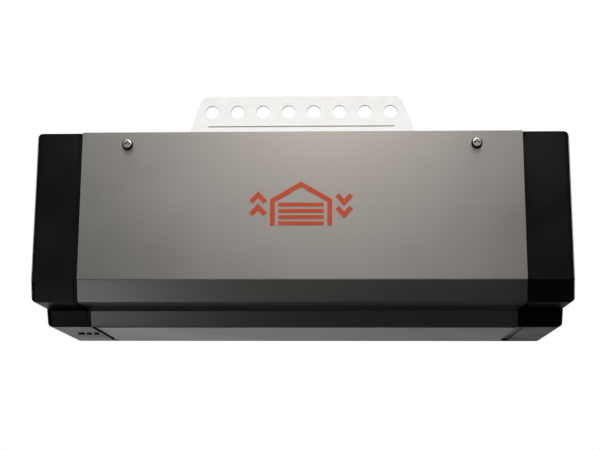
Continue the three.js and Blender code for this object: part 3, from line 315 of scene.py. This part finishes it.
GRAINED = {
    "bright_steel": {
        "base": ((0.9, 0.89, 0.87), 0.3),
        "metallic": 1.0,
        "grain": ((700.0, 700.0, 250.0), 4.0),
        "colors": ((0.82, 0.81, 0.79), (0.96, 0.95, 0.93)),
        "polish": (0.24, 0.38),
        "relief": (10 * MICRON, 0.4),
    },
    "cast_aluminium": {
        "base": ((0.6, 0.61, 0.62), 0.5),
        "metallic": 0.9,
        "grain": (700.0, 5.0),
        "colors": ((0.5, 0.51, 0.52), (0.68, 0.69, 0.7)),
        "polish": (0.42, 0.6),
        "relief": (80 * MICRON, 0.6),
    },
    "bronze": {
        "base": ((0.5, 0.33, 0.16), 0.4),
        "metallic": 1.0,
        "grain": (2500.0, 2.0),
        "colors": ((0.36, 0.23, 0.1), (0.56, 0.38, 0.19)),
        "polish": None,
        "relief": (30 * MICRON, 0.5),
    },
    "copper": {
        "base": ((0.55, 0.22, 0.09), 0.3),
        "metallic": 1.0,
        "grain": ((4.0, 4.0, 1600.0), 1.0),
        "colors": ((0.35, 0.12, 0.05), (0.66, 0.28, 0.12)),
        "polish": None,
        "relief": (100 * MICRON, 0.7),
    },
    "dark_iron": {
        "base": ((0.1, 0.1, 0.105), 0.45),
        "metallic": 0.9,
        "grain": (400.0, 4.0),
        "colors": ((0.07, 0.07, 0.075), (0.15, 0.15, 0.155)),
        "polish": (0.36, 0.56),
        "relief": (30 * MICRON, 0.4),
    },
    "led": {
        "base": ((0.85, 0.68, 0.2), 0.3),
        "metallic": 0.0,
        "grain": (3000.0, 2.0),
        "colors": ((0.8, 0.6, 0.12), (0.9, 0.74, 0.28)),
        "polish": (0.25, 0.4),
        "relief": (10 * MICRON, 0.3),
    },
}

# Each plastic's own colour, its colour where it is worn, its roughness and its gloss.
PLASTICS = {
    "cap_plastic": ((0.0008, 0.0008, 0.0009), (0.0018, 0.0018, 0.0019), 0.3, 0.4),
    "button_plastic": ((0.02, 0.02, 0.022), (0.03, 0.03, 0.032), 0.3, 0.5),
    "black_plastic": ((0.012, 0.012, 0.012), (0.02, 0.02, 0.02), 0.45, 0.5),
    "grey_plastic": ((0.03, 0.03, 0.032), (0.045, 0.045, 0.048), 0.45, 0.5),
    "white_plastic": ((0.78, 0.78, 0.76), (0.84, 0.84, 0.82), 0.5, 0.5),
    "nylon": ((0.68, 0.64, 0.54), (0.76, 0.72, 0.62), 0.42, 0.5),
}

MATERIALS = {
    "brushed_steel": brushed_steel(),
    "galvanised": galvanised("galvanised"),
    # a darker copy with painted shade, for the top sheets under the overhead light
    "galvanised_painted_shade": galvanised("galvanised_painted_shade", TOP_PAINTED_SHADE),
    "zinc_plated": zinc_plated(),
    "panel_screw_steel": screw_steel("panel_screw_steel", "Y"),
    "side_screw_steel": screw_steel("side_screw_steel", "X"),
    "opal": opal_diffuser(),
    "circuit_board": circuit_board(),
    "printed_ink": printed_ink(),
}
MATERIALS.update({name: grained(name, **look) for name, look in GRAINED.items()})
MATERIALS.update({name: textured_plastic(name, *look) for name, look in PLASTICS.items()})

# ---------------------------------------------------------------- the CAD nodes' finish

WELD_WITHIN = 0.005 * MM
FLAT_BELOW = math.radians(0.6)
EDGE_ABOVE = math.radians(38)
FOLD_ABOVE = math.radians(12)
SMOOTH_BELOW = math.radians(28)
EDGE_SEGMENTS = 3
BIG_FACE_WEIGHT = 80
SOFT_EDGE = 0.25 * MM
EDGE_WIDTHS = {
    "front_hood": 0.55 * MM,
    "end_cap_left": 0.7 * MM,
    "end_cap_right": 0.7 * MM,
    "light_cover": 0.3 * MM,
    "button_program": 0.12 * MM,
    "button_up": 0.12 * MM,
    "button_down": 0.12 * MM,
    "gearbox_housing": 1.2 * MM,
    "gearbox_cover": 0.8 * MM,
}
SHARP_FOLDS = {"front_hood", "end_cap_left", "end_cap_right"}
KEPT_TRIANGLES = {"light_cover"}  # its U-shaped rim is too long and thin to be one face


def soften(node, obj):
    """Joins the split triangles, then rounds every real edge a little."""
    weld = obj.modifiers.new("weld", "WELD")
    weld.merge_threshold = WELD_WITHIN
    if node not in KEPT_TRIANGLES:
        flats = obj.modifiers.new("flats", "DECIMATE")
        flats.decimate_type = "DISSOLVE"
        flats.angle_limit = FLAT_BELOW
    bevel = obj.modifiers.new("edges", "BEVEL")
    bevel.width = EDGE_WIDTHS.get(node, SOFT_EDGE)
    bevel.segments = EDGE_SEGMENTS
    bevel.limit_method = "ANGLE"
    bevel.angle_limit = FOLD_ABOVE if node in SHARP_FOLDS else EDGE_ABOVE
    bevel.use_clamp_overlap = True
    bevel.harden_normals = False
    shade_smooth(obj)
    normals = obj.modifiers.new("normals", "WEIGHTED_NORMAL")
    normals.keep_sharp = True
    normals.weight = BIG_FACE_WEIGHT


def shade_smooth(obj):
    smooth = obj.modifiers.new("shading", "NODES")
    smooth.node_group = SMOOTH_GROUP


def smooth_group():
    """Node group that shades faces smooth and keeps edges sharper than SMOOTH_BELOW sharp."""
    group = bpy.data.node_groups.new("smooth_below_28", "GeometryNodeTree")
    group.interface.new_socket("Geometry", in_out="INPUT", socket_type="NodeSocketGeometry")
    group.interface.new_socket("Geometry", in_out="OUTPUT", socket_type="NodeSocketGeometry")
    source = group.nodes.new("NodeGroupInput")
    sink = group.nodes.new("NodeGroupOutput")
    faces = group.nodes.new("GeometryNodeSetShadeSmooth")
    faces.domain = "FACE"
    edges = group.nodes.new("GeometryNodeSetShadeSmooth")
    edges.domain = "EDGE"
    edges.inputs["Shade Smooth"].default_value = False
    turn = group.nodes.new("GeometryNodeInputMeshEdgeAngle")
    above = group.nodes.new("FunctionNodeCompare")
    above.data_type = "FLOAT"
    above.operation = "GREATER_THAN"
    above.inputs["B"].default_value = SMOOTH_BELOW
    link = group.links.new
    link(source.outputs[0], faces.inputs["Geometry"])
    link(faces.outputs["Geometry"], edges.inputs["Geometry"])
    link(turn.outputs["Unsigned Angle"], above.inputs["A"])
    link(above.outputs["Result"], edges.inputs["Selection"])
    link(edges.outputs["Geometry"], sink.inputs[0])
    return group


SMOOTH_GROUP = smooth_group()
SLOT_OF = {part["node"]: part["material_slot"] for part in frame["record"]["subparts"]}


def finish_of(node):
    """The record's slot, but for the bracket, the top sheets and the pan-head screws."""
    if node == "suspension_bracket":
        return "zinc_plated"
    # the top sheets take the galvanised copy with painted shade, because the overhead light falls hard on them
    if node in ("chassis_plate", "rail_seat"):
        return "galvanised_painted_shade"
    if node.startswith(("hood_screw_", "rear_screw_")):
        return "panel_screw_steel"
    if node.startswith("cap_screw_"):
        return "side_screw_steel"
    return SLOT_OF[node]


for node, obj in NODES.items():
    for slot in obj.material_slots:
        slot.material = MATERIALS[finish_of(node)]
    soften(node, obj)

# ---------------------------------------------------------------- mesh code for the fine pieces


def piece_from(name, fill, slot, material=None):
    """Makes a piece from a bmesh that a function fills, and lets it ride on the head."""
    bm = bmesh.new()
    fill(bm)
    bmesh.ops.remove_doubles(bm, verts=bm.verts, dist=MICRON)
    bmesh.ops.recalc_face_normals(bm, faces=bm.faces)
    mesh = bpy.data.meshes.new(name)
    bm.to_mesh(mesh)
    bm.free()
    obj = bpy.data.objects.new(name, mesh)
    bpy.context.collection.objects.link(obj)
    mesh.materials.append(MATERIALS[material or slot])
    shade_smooth(obj)
    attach(obj, HEAD)


def prism(bm, outline, place, depth):
    """A closed prism: the outline's 2-D points are placed by a function, then pushed along a vector."""
    front = [bm.verts.new(place(u, v)) for u, v in outline]
    back = [bm.verts.new(vert.co + depth) for vert in front]
    bm.faces.new(front)
    bm.faces.new(list(reversed(back)))
    for i, vert in enumerate(front):
        j = (i + 1) % len(front)
        bm.faces.new([vert, back[i], back[j], front[j]])


def ribbon(points, width):
    """The outline of a line of constant width through 2-D points, with mitred corners."""
    path = [Vector(p) for p in points]
    left, right = [], []
    for i, corner in enumerate(path):
        arriving = (corner - path[i - 1]).normalized() if i else (path[1] - corner).normalized()
        leaving = (path[i + 1] - corner).normalized() if i + 1 < len(path) else arriving
        side = Vector((-arriving.y - leaving.y, arriving.x + leaving.x)) / (1 + arriving.dot(leaving))
        left.append(corner + side * width / 2)
        right.append(corner - side * width / 2)
    return [tuple(p) for p in left + right[::-1]]


# ---------------------------------------------------------------- emblem on the panel

EMBLEM_HALF_WIDTH = 22 * MM
EMBLEM_EAVES = 2 * MM
EMBLEM_RIDGE = 15.5 * MM
EMBLEM_BASE = -16 * MM
EMBLEM_STROKE = 3.4 * MM
EMBLEM_CENTRE_Z = TOP_Z - 52 * MM
INK_THICKNESS = 0.12 * MM
INK_GAP = 0.02 * MM  # in front of the panel
SLAT_COUNT = 4
SLAT_INSET = 1.25 * EMBLEM_STROKE
SLAT_FILL = 0.6  # of the pitch
SLAT_START = 0.35  # of the pitch
CHEVRON_OUT = 8.5 * MM
CHEVRON_HALF_WIDTH = 5 * MM
CHEVRON_TIP = 3 * MM
CHEVRON_WING = 2.5 * MM
CHEVRON_LIFTS = (-5.5 * MM, 3.5 * MM)


def emblem(bm):
    """A plain sign for a garage: a gabled outline over a slatted door, with two chevrons on either side."""

    def place(u, v):
        return Vector((CENTRE_X + u, FRONT_Y - INK_GAP, EMBLEM_CENTRE_Z + v))

    push = Vector((0, -INK_THICKNESS, 0))
    inner = EMBLEM_HALF_WIDTH - EMBLEM_STROKE / 2
    walls = [(-inner, EMBLEM_BASE), (-inner, EMBLEM_EAVES), (0, EMBLEM_RIDGE - EMBLEM_STROKE / 2)]
    prism(bm, ribbon([*walls, (inner, EMBLEM_EAVES), (inner, EMBLEM_BASE)], EMBLEM_STROKE), place, push)
    slat_half = inner - SLAT_INSET
    pitch = (EMBLEM_EAVES - EMBLEM_BASE) / SLAT_COUNT
    for row in range(SLAT_COUNT):
        z = EMBLEM_BASE + pitch * (row + SLAT_START)
        prism(bm, ribbon([(-slat_half, z), (slat_half, z)], pitch * SLAT_FILL), place, push)
    for side, turn in ((-1, 1), (1, -1)):
        x = side * (EMBLEM_HALF_WIDTH + CHEVRON_OUT)
        for lift in CHEVRON_LIFTS:
            wing = lift - turn * CHEVRON_WING
            left, right = (x - CHEVRON_HALF_WIDTH, wing), (x + CHEVRON_HALF_WIDTH, wing)
            tip = (x, lift + turn * CHEVRON_TIP)
            prism(bm, ribbon([left, tip, right], EMBLEM_STROKE), place, push)


piece_from("panel_emblem", emblem, "brushed_steel", material="printed_ink")

# ---------------------------------------------------------------- lamps under the diffuser

LED_LOW, LED_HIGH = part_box("led_board")
LED_COUNT = 24
LED_HALF = 1.4 * MM
LED_HEIGHT = 0.7 * MM
LED_STAGGER = 3 * MM
SEATED = 0.02 * MM  # how far a fine piece starts inside the face that it stands on


def square(half):
    return [(-half, -half), (half, -half), (half, half), (-half, half)]


def led_row(bm):
    """Square lamps in two staggered rows on the board's underside."""
    middle_y = (LED_LOW.y + LED_HIGH.y) / 2
    pitch = (LED_HIGH.x - LED_LOW.x) / LED_COUNT
    for i in range(LED_COUNT):
        x = LED_LOW.x + (i + 0.5) * pitch
        y = middle_y + (LED_STAGGER if i % 2 else -LED_STAGGER)

        def place(u, v, x=x, y=y):
            return Vector((x + u, y + v, LED_LOW.z + SEATED))

        prism(bm, square(LED_HALF), place, Vector((0, 0, -LED_HEIGHT)))


piece_from("led_row", led_row, "opal", material="led")

# ---------------------------------------------------------------- mains inlet pins

INLET_LOW, INLET_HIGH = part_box("mains_inlet")
PIN_HALF_WIDTH = 1.0 * MM
PIN_HALF_HEIGHT = 2.0 * MM
PIN_PITCH = 7 * MM
PIN_LENGTH = 13 * MM
PIN_ROOT = 5 * MM
MIDDLE_PIN_LIFT = 2.5 * MM
OUTER_PIN_LIFT = -1.5 * MM


def inlet_pins(bm):
    """Three flat pins that stand in the socket, the middle one higher."""
    centre_x = (INLET_LOW.x + INLET_HIGH.x) / 2
    centre_z = (INLET_LOW.z + INLET_HIGH.z) / 2
    blade = [
        (-PIN_HALF_WIDTH, -PIN_HALF_HEIGHT),
        (PIN_HALF_WIDTH, -PIN_HALF_HEIGHT),
        (PIN_HALF_WIDTH, PIN_HALF_HEIGHT),
        (-PIN_HALF_WIDTH, PIN_HALF_HEIGHT),
    ]
    for step in (-1, 0, 1):
        x = centre_x + step * PIN_PITCH
        z = centre_z + (MIDDLE_PIN_LIFT if step == 0 else OUTER_PIN_LIFT)

        def place(u, v, x=x, z=z):
            return Vector((x + u, INLET_LOW.y + PIN_ROOT, z + v))

        prism(bm, blade, place, Vector((0, PIN_LENGTH, 0)))


piece_from("inlet_pins", inlet_pins, "bright_steel")

# ---------------------------------------------------------------- rivets and screws on the chassis

RIVET_SIDES = 28
SCREW_SIDES = 24
SIXTH = math.pi / 3
RIVET_PROFILE = [(3.2, 0.0), (3.2, 0.25), (2.9, 0.6), (2.3, 0.95), (1.5, 1.15), (1.15, 1.1), (1.0, 0.5)]
HEX_HEAD_PROFILE = [(4.6, 0.0), (4.6, 0.4), (4.3, 1.2), (3.6, 1.9), (2.7, 2.3), (1.95, 2.3)]
HEX_SOCKET_RADIUS = 1.75
HEX_SOCKET_FLOOR = 0.7


def angles(count):
    return [2 * math.pi * i / count for i in range(count)]


def ring_of(bm, place, radius, height, sides, hexagonal=False):
    """A ring of vertices at a height, round or with its radius drawn in to a hexagon."""
    verts = []
    for angle in angles(sides):
        reach = radius
        if hexagonal:
            into_side = (angle + SIXTH / 2) % SIXTH - SIXTH / 2
            reach = radius * math.cos(SIXTH / 2) / math.cos(into_side)
        verts.append(bm.verts.new(place(reach * math.cos(angle), reach * math.sin(angle), height)))
    return verts


def skin(bm, rings):
    """Walls between neighbouring rings, with the first and the last closed by a face."""
    for lower, upper in zip(rings, rings[1:]):
        for i, vert in enumerate(lower):
            j = (i + 1) % len(lower)
            bm.faces.new([vert, lower[j], upper[j], upper[i]])
    bm.faces.new(list(reversed(rings[0])))
    bm.faces.new(rings[-1])


def upright_at(x, y, z):
    """Places millimetres along the axes from a foot point in metres."""

    def place(u, v, height):
        return Vector((x + u * MM, y + v * MM, z + height * MM))

    return place


def rivet(bm, x, y, z):
    place = upright_at(x, y, z)
    skin(bm, [ring_of(bm, place, radius, height, RIVET_SIDES) for radius, height in RIVET_PROFILE])


def socket_screw(bm, x, y, z):
    """A button-head screw with a hexagonal socket."""
    place = upright_at(x, y, z)
    rings = [ring_of(bm, place, radius, height, SCREW_SIDES) for radius, height in HEX_HEAD_PROFILE]
    rim = HEX_HEAD_PROFILE[-1][1]
    for height in (rim, HEX_SOCKET_FLOOR):
        rings.append(ring_of(bm, place, HEX_SOCKET_RADIUS, height, SCREW_SIDES, hexagonal=True))
    skin(bm, rings)


PLATE_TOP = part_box("chassis_plate")[1].z
GEARBOX_LOW, GEARBOX_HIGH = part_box("gearbox_cover")
STRAP_LOW, STRAP_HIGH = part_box("transformer_strap")
BOARD_LOW, BOARD_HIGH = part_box("board_bracket")
GEARBOX_SCREW_INSET = 6 * MM
STRAP_FOOT_INSET = 5.5 * MM
BOARD_FOOT_INSET = 12 * MM
BOARD_FOOT_BEHIND = 7 * MM


def gearbox_screws(bm):
    for x in (GEARBOX_LOW.x + GEARBOX_SCREW_INSET, GEARBOX_HIGH.x - GEARBOX_SCREW_INSET):
        for y in (GEARBOX_LOW.y + GEARBOX_SCREW_INSET, GEARBOX_HIGH.y - GEARBOX_SCREW_INSET):
            socket_screw(bm, x, y, PLATE_TOP)


def plate_rivets(bm):
    """Rivets over the feet of the transformer's strap and of the control board's bracket."""
    strap_y = (STRAP_LOW.y + STRAP_HIGH.y) / 2
    for x in (STRAP_LOW.x + STRAP_FOOT_INSET, STRAP_HIGH.x - STRAP_FOOT_INSET):
        rivet(bm, x, strap_y, PLATE_TOP)
    board_middle = (BOARD_LOW.x + BOARD_HIGH.x) / 2
    for x in (BOARD_LOW.x + BOARD_FOOT_INSET, board_middle, BOARD_HIGH.x - BOARD_FOOT_INSET):
        rivet(bm, x, BOARD_LOW.y + BOARD_FOOT_BEHIND, PLATE_TOP)


piece_from("gearbox_screws", gearbox_screws, "bright_steel")
piece_from("plate_rivets", plate_rivets, "bright_steel")

# ---------------------------------------------------------------- signs beside the buttons

SIGN_DEPTH = 0.15 * MM
SIGN_HALF = 1.6 * MM
SIGN_AHEAD = 5 * MM  # of the button's front
DOT_SIDES = 16


def button_signs(bm):
    """A dot beside the program button, and arrows beside the down and up buttons."""
    under = BOTTOM_Z + SEATED
    signs = {
        "button_program": [(SIGN_HALF * math.cos(a), SIGN_HALF * math.sin(a)) for a in angles(DOT_SIDES)],
        "button_down": [(-SIGN_HALF, SIGN_HALF), (0, -SIGN_HALF), (SIGN_HALF, SIGN_HALF)],
        "button_up": [(-SIGN_HALF, -SIGN_HALF), (SIGN_HALF, -SIGN_HALF), (0, SIGN_HALF)],
    }
    for node, outline in signs.items():
        low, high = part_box(node)
        x = (low.x + high.x) / 2
        y = low.y - SIGN_AHEAD

        def place(u, v, x=x, y=y):
            return Vector((x + u, y + v, under))

        prism(bm, outline, place, Vector((0, 0, -SIGN_DEPTH)))


piece_from("button_signs", button_signs, "button_plastic", material="white_plastic")

# ---------------------------------------------------------------- stage

WHITE = (1.0, 1.0, 1.0, 1.0)
FLOOR_Z = -1.9
FLOOR_HALF = 6.0
FLOOR_EMISSION = 0.75


def stage_floor():
    """A pale floor far below, seen by the camera only."""
    surface = Surface("stage_floor", (0.85, 0.85, 0.84), 0.75, Emission_Strength=FLOOR_EMISSION)
    surface.set("Emission Color", WHITE)
    surface.roughness_from(surface.noise(3.0), 0.7, 0.85)
    bm = bmesh.new()
    bm.faces.new([bm.verts.new((x, y, FLOOR_Z)) for x, y in square(FLOOR_HALF)])
    mesh = bpy.data.meshes.new("stage_floor")
    bm.to_mesh(mesh)
    bm.free()
    floor = bpy.data.objects.new("stage_floor", mesh)
    bpy.context.collection.objects.link(floor)
    mesh.materials.append(surface.material)
    floor.visible_glossy = False
    floor.visible_diffuse = False


stage_floor()

# ---------------------------------------------------------------- light

# The spans below are of the direction's X, Y or Z, from -1 to 1.
FLOOR_GLOW = 0.02
CEILING_GLOW = 0.17
SKY_SPAN = (-0.2, 0.9)
BACKDROP_LEFT_GLOW = 0.62
BACKDROP_RIGHT_GLOW = 0.28
BACKDROP_ACROSS = (-0.25, 0.2)
BACKDROP_BEHIND = (0.6, 0.9)
BACKDROP_FOOT = (-0.36, -0.14)
LEFT_TINT = (0.88, 1.08, 0.92, 1.0)
RIGHT_TINT = (1.0, 0.96, 0.94, 1.0)
TINT_ACROSS = (-0.4, 0.1)


def studio_world():
    """White to the camera. Other rays see a dim front, darker below, and a bright band low behind."""
    world = bpy.data.worlds.new("studio")
    world.use_nodes = True
    tree = world.node_tree
    tree.nodes.clear()
    add = tree.nodes.new
    link = tree.links.new

    def ranged(letter, span, low=0.0, high=1.0):
        node = add("ShaderNodeMapRange")
        node.inputs["From Min"].default_value, node.inputs["From Max"].default_value = span
        node.inputs["To Min"].default_value, node.inputs["To Max"].default_value = low, high
        link(axes.outputs[letter], node.inputs["Value"])
        return node.outputs["Result"]

    def combined(first, second):
        node = add("ShaderNodeMath")
        node.operation = "MULTIPLY"
        link(first, node.inputs[0])
        link(second, node.inputs[1])
        return node.outputs[0]

    axes = add("ShaderNodeSeparateXYZ")
    link(add("ShaderNodeTexCoord").outputs["Generated"], axes.inputs[0])
    behind = ranged("Y", BACKDROP_BEHIND)
    above_floor = ranged("Z", BACKDROP_FOOT)
    across = ranged("X", BACKDROP_ACROSS, BACKDROP_LEFT_GLOW, BACKDROP_RIGHT_GLOW)
    tint = add("ShaderNodeMix")
    tint.data_type = "RGBA"
    tint.inputs[MIX_A].default_value = LEFT_TINT
    tint.inputs[MIX_B].default_value = RIGHT_TINT
    link(ranged("X", TINT_ACROSS), tint.inputs[MIX_FACTOR])
    sky = add("ShaderNodeBackground")
    link(tint.outputs[MIX_RESULT], sky.inputs["Color"])
    link(ranged("Z", SKY_SPAN, FLOOR_GLOW, CEILING_GLOW), sky.inputs["Strength"])
    band = add("ShaderNodeBackground")
    link(combined(across, combined(behind, above_floor)), band.inputs["Strength"])
    ambient = add("ShaderNodeAddShader")
    link(sky.outputs[0], ambient.inputs[0])
    link(band.outputs[0], ambient.inputs[1])
    backdrop = add("ShaderNodeBackground")
    backdrop.inputs["Color"].default_value = WHITE
    mix = add("ShaderNodeMixShader")
    link(add("ShaderNodeLightPath").outputs["Is Camera Ray"], mix.inputs[0])
    link(ambient.outputs[0], mix.inputs[1])
    link(backdrop.outputs[0], mix.inputs[2])
    link(mix.outputs[0], add("ShaderNodeOutputWorld").inputs["Surface"])
    bpy.context.scene.world = world


PANEL_MIDDLE = Vector((CENTRE_X, FRONT_Y, (TOP_Z + BOTTOM_Z) / 2))
NEUTRAL = (1.0, 1.0, 1.0)
WARM = (1.0, 0.88, 0.79)
COOL = (0.93, 1.0, 0.96)

# Each light's place and size in metres, its power in watts and its colour.
LIGHTS = {
    "key": ((CENTRE_X - 0.01, -1.9, 1.1), (0.5, 0.4), 6.1, WARM),
    "overhead": ((CENTRE_X, -0.4, 1.4), (1.6, 0.9), 61.0, NEUTRAL),
    "side_left": ((CENTRE_X - 1.5, 1.3, 0.5), (1.0, 1.0), 10.0, NEUTRAL),
    "side_right": ((CENTRE_X + 1.5, 1.3, 0.5), (1.0, 1.0), 10.0, NEUTRAL),
    "low_left": ((-0.4, -0.72, -0.66), (0.35, 0.25), 0.29, COOL),
}


def softbox(name, place, size, power, color):
    """A rectangular light that points at the middle of the panel."""
    light = bpy.data.lights.new(name, "AREA")
    light.shape = "RECTANGLE"
    light.size, light.size_y = size
    light.energy = power
    light.color = color
    lamp = bpy.data.objects.new(name, light)
    lamp.location = place
    lamp.rotation_euler = (PANEL_MIDDLE - Vector(place)).to_track_quat("-Z", "Y").to_euler()
    lamp.visible_camera = False
    bpy.context.collection.objects.link(lamp)


studio_world()
for name, look in LIGHTS.items():
    softbox(name, *look)

# ---------------------------------------------------------------- camera

CAMERA_FROM_PANEL = Vector((28.3, -820.9, -235.6)) * MM
CAMERA_YAW = 0.0353
CAMERA_PITCH = 0.2016
CAMERA_ROLL = 0.0044
SENSOR = 36.0
LENS = 71.3
CLIP = (0.01, 50.0)


def studio_camera():
    """Stands below the panel, to the right of its middle, and looks up and slightly left."""
    level_painted_shade = Vector((math.cos(CAMERA_YAW), math.sin(CAMERA_YAW), 0.0))
    forward = Vector((-level_painted_shade.y, level_painted_shade.x, 0.0))
    ahead = forward * math.cos(CAMERA_PITCH) + Vector((0.0, 0.0, math.sin(CAMERA_PITCH)))
    up = level_painted_shade.cross(ahead)
    right = level_painted_shade * math.cos(CAMERA_ROLL) + up * math.sin(CAMERA_ROLL)
    top = up * math.cos(CAMERA_ROLL) - level_painted_shade * math.sin(CAMERA_ROLL)
    data = bpy.data.cameras.new("camera")
    data.sensor_width = SENSOR
    data.lens = LENS
    data.clip_start, data.clip_end = CLIP
    camera = bpy.data.objects.new("camera", data)
    turned = Matrix((right, top, -ahead)).transposed().to_4x4()
    place = Vector((CENTRE_X, FRONT_Y, TOP_Z)) + CAMERA_FROM_PANEL
    camera.matrix_world = Matrix.Translation(place) @ turned
    bpy.context.collection.objects.link(camera)
    bpy.context.scene.camera = camera


studio_camera()
bpy.context.scene.view_settings.view_transform = "Standard"
bpy.context.scene.view_settings.look = "None"
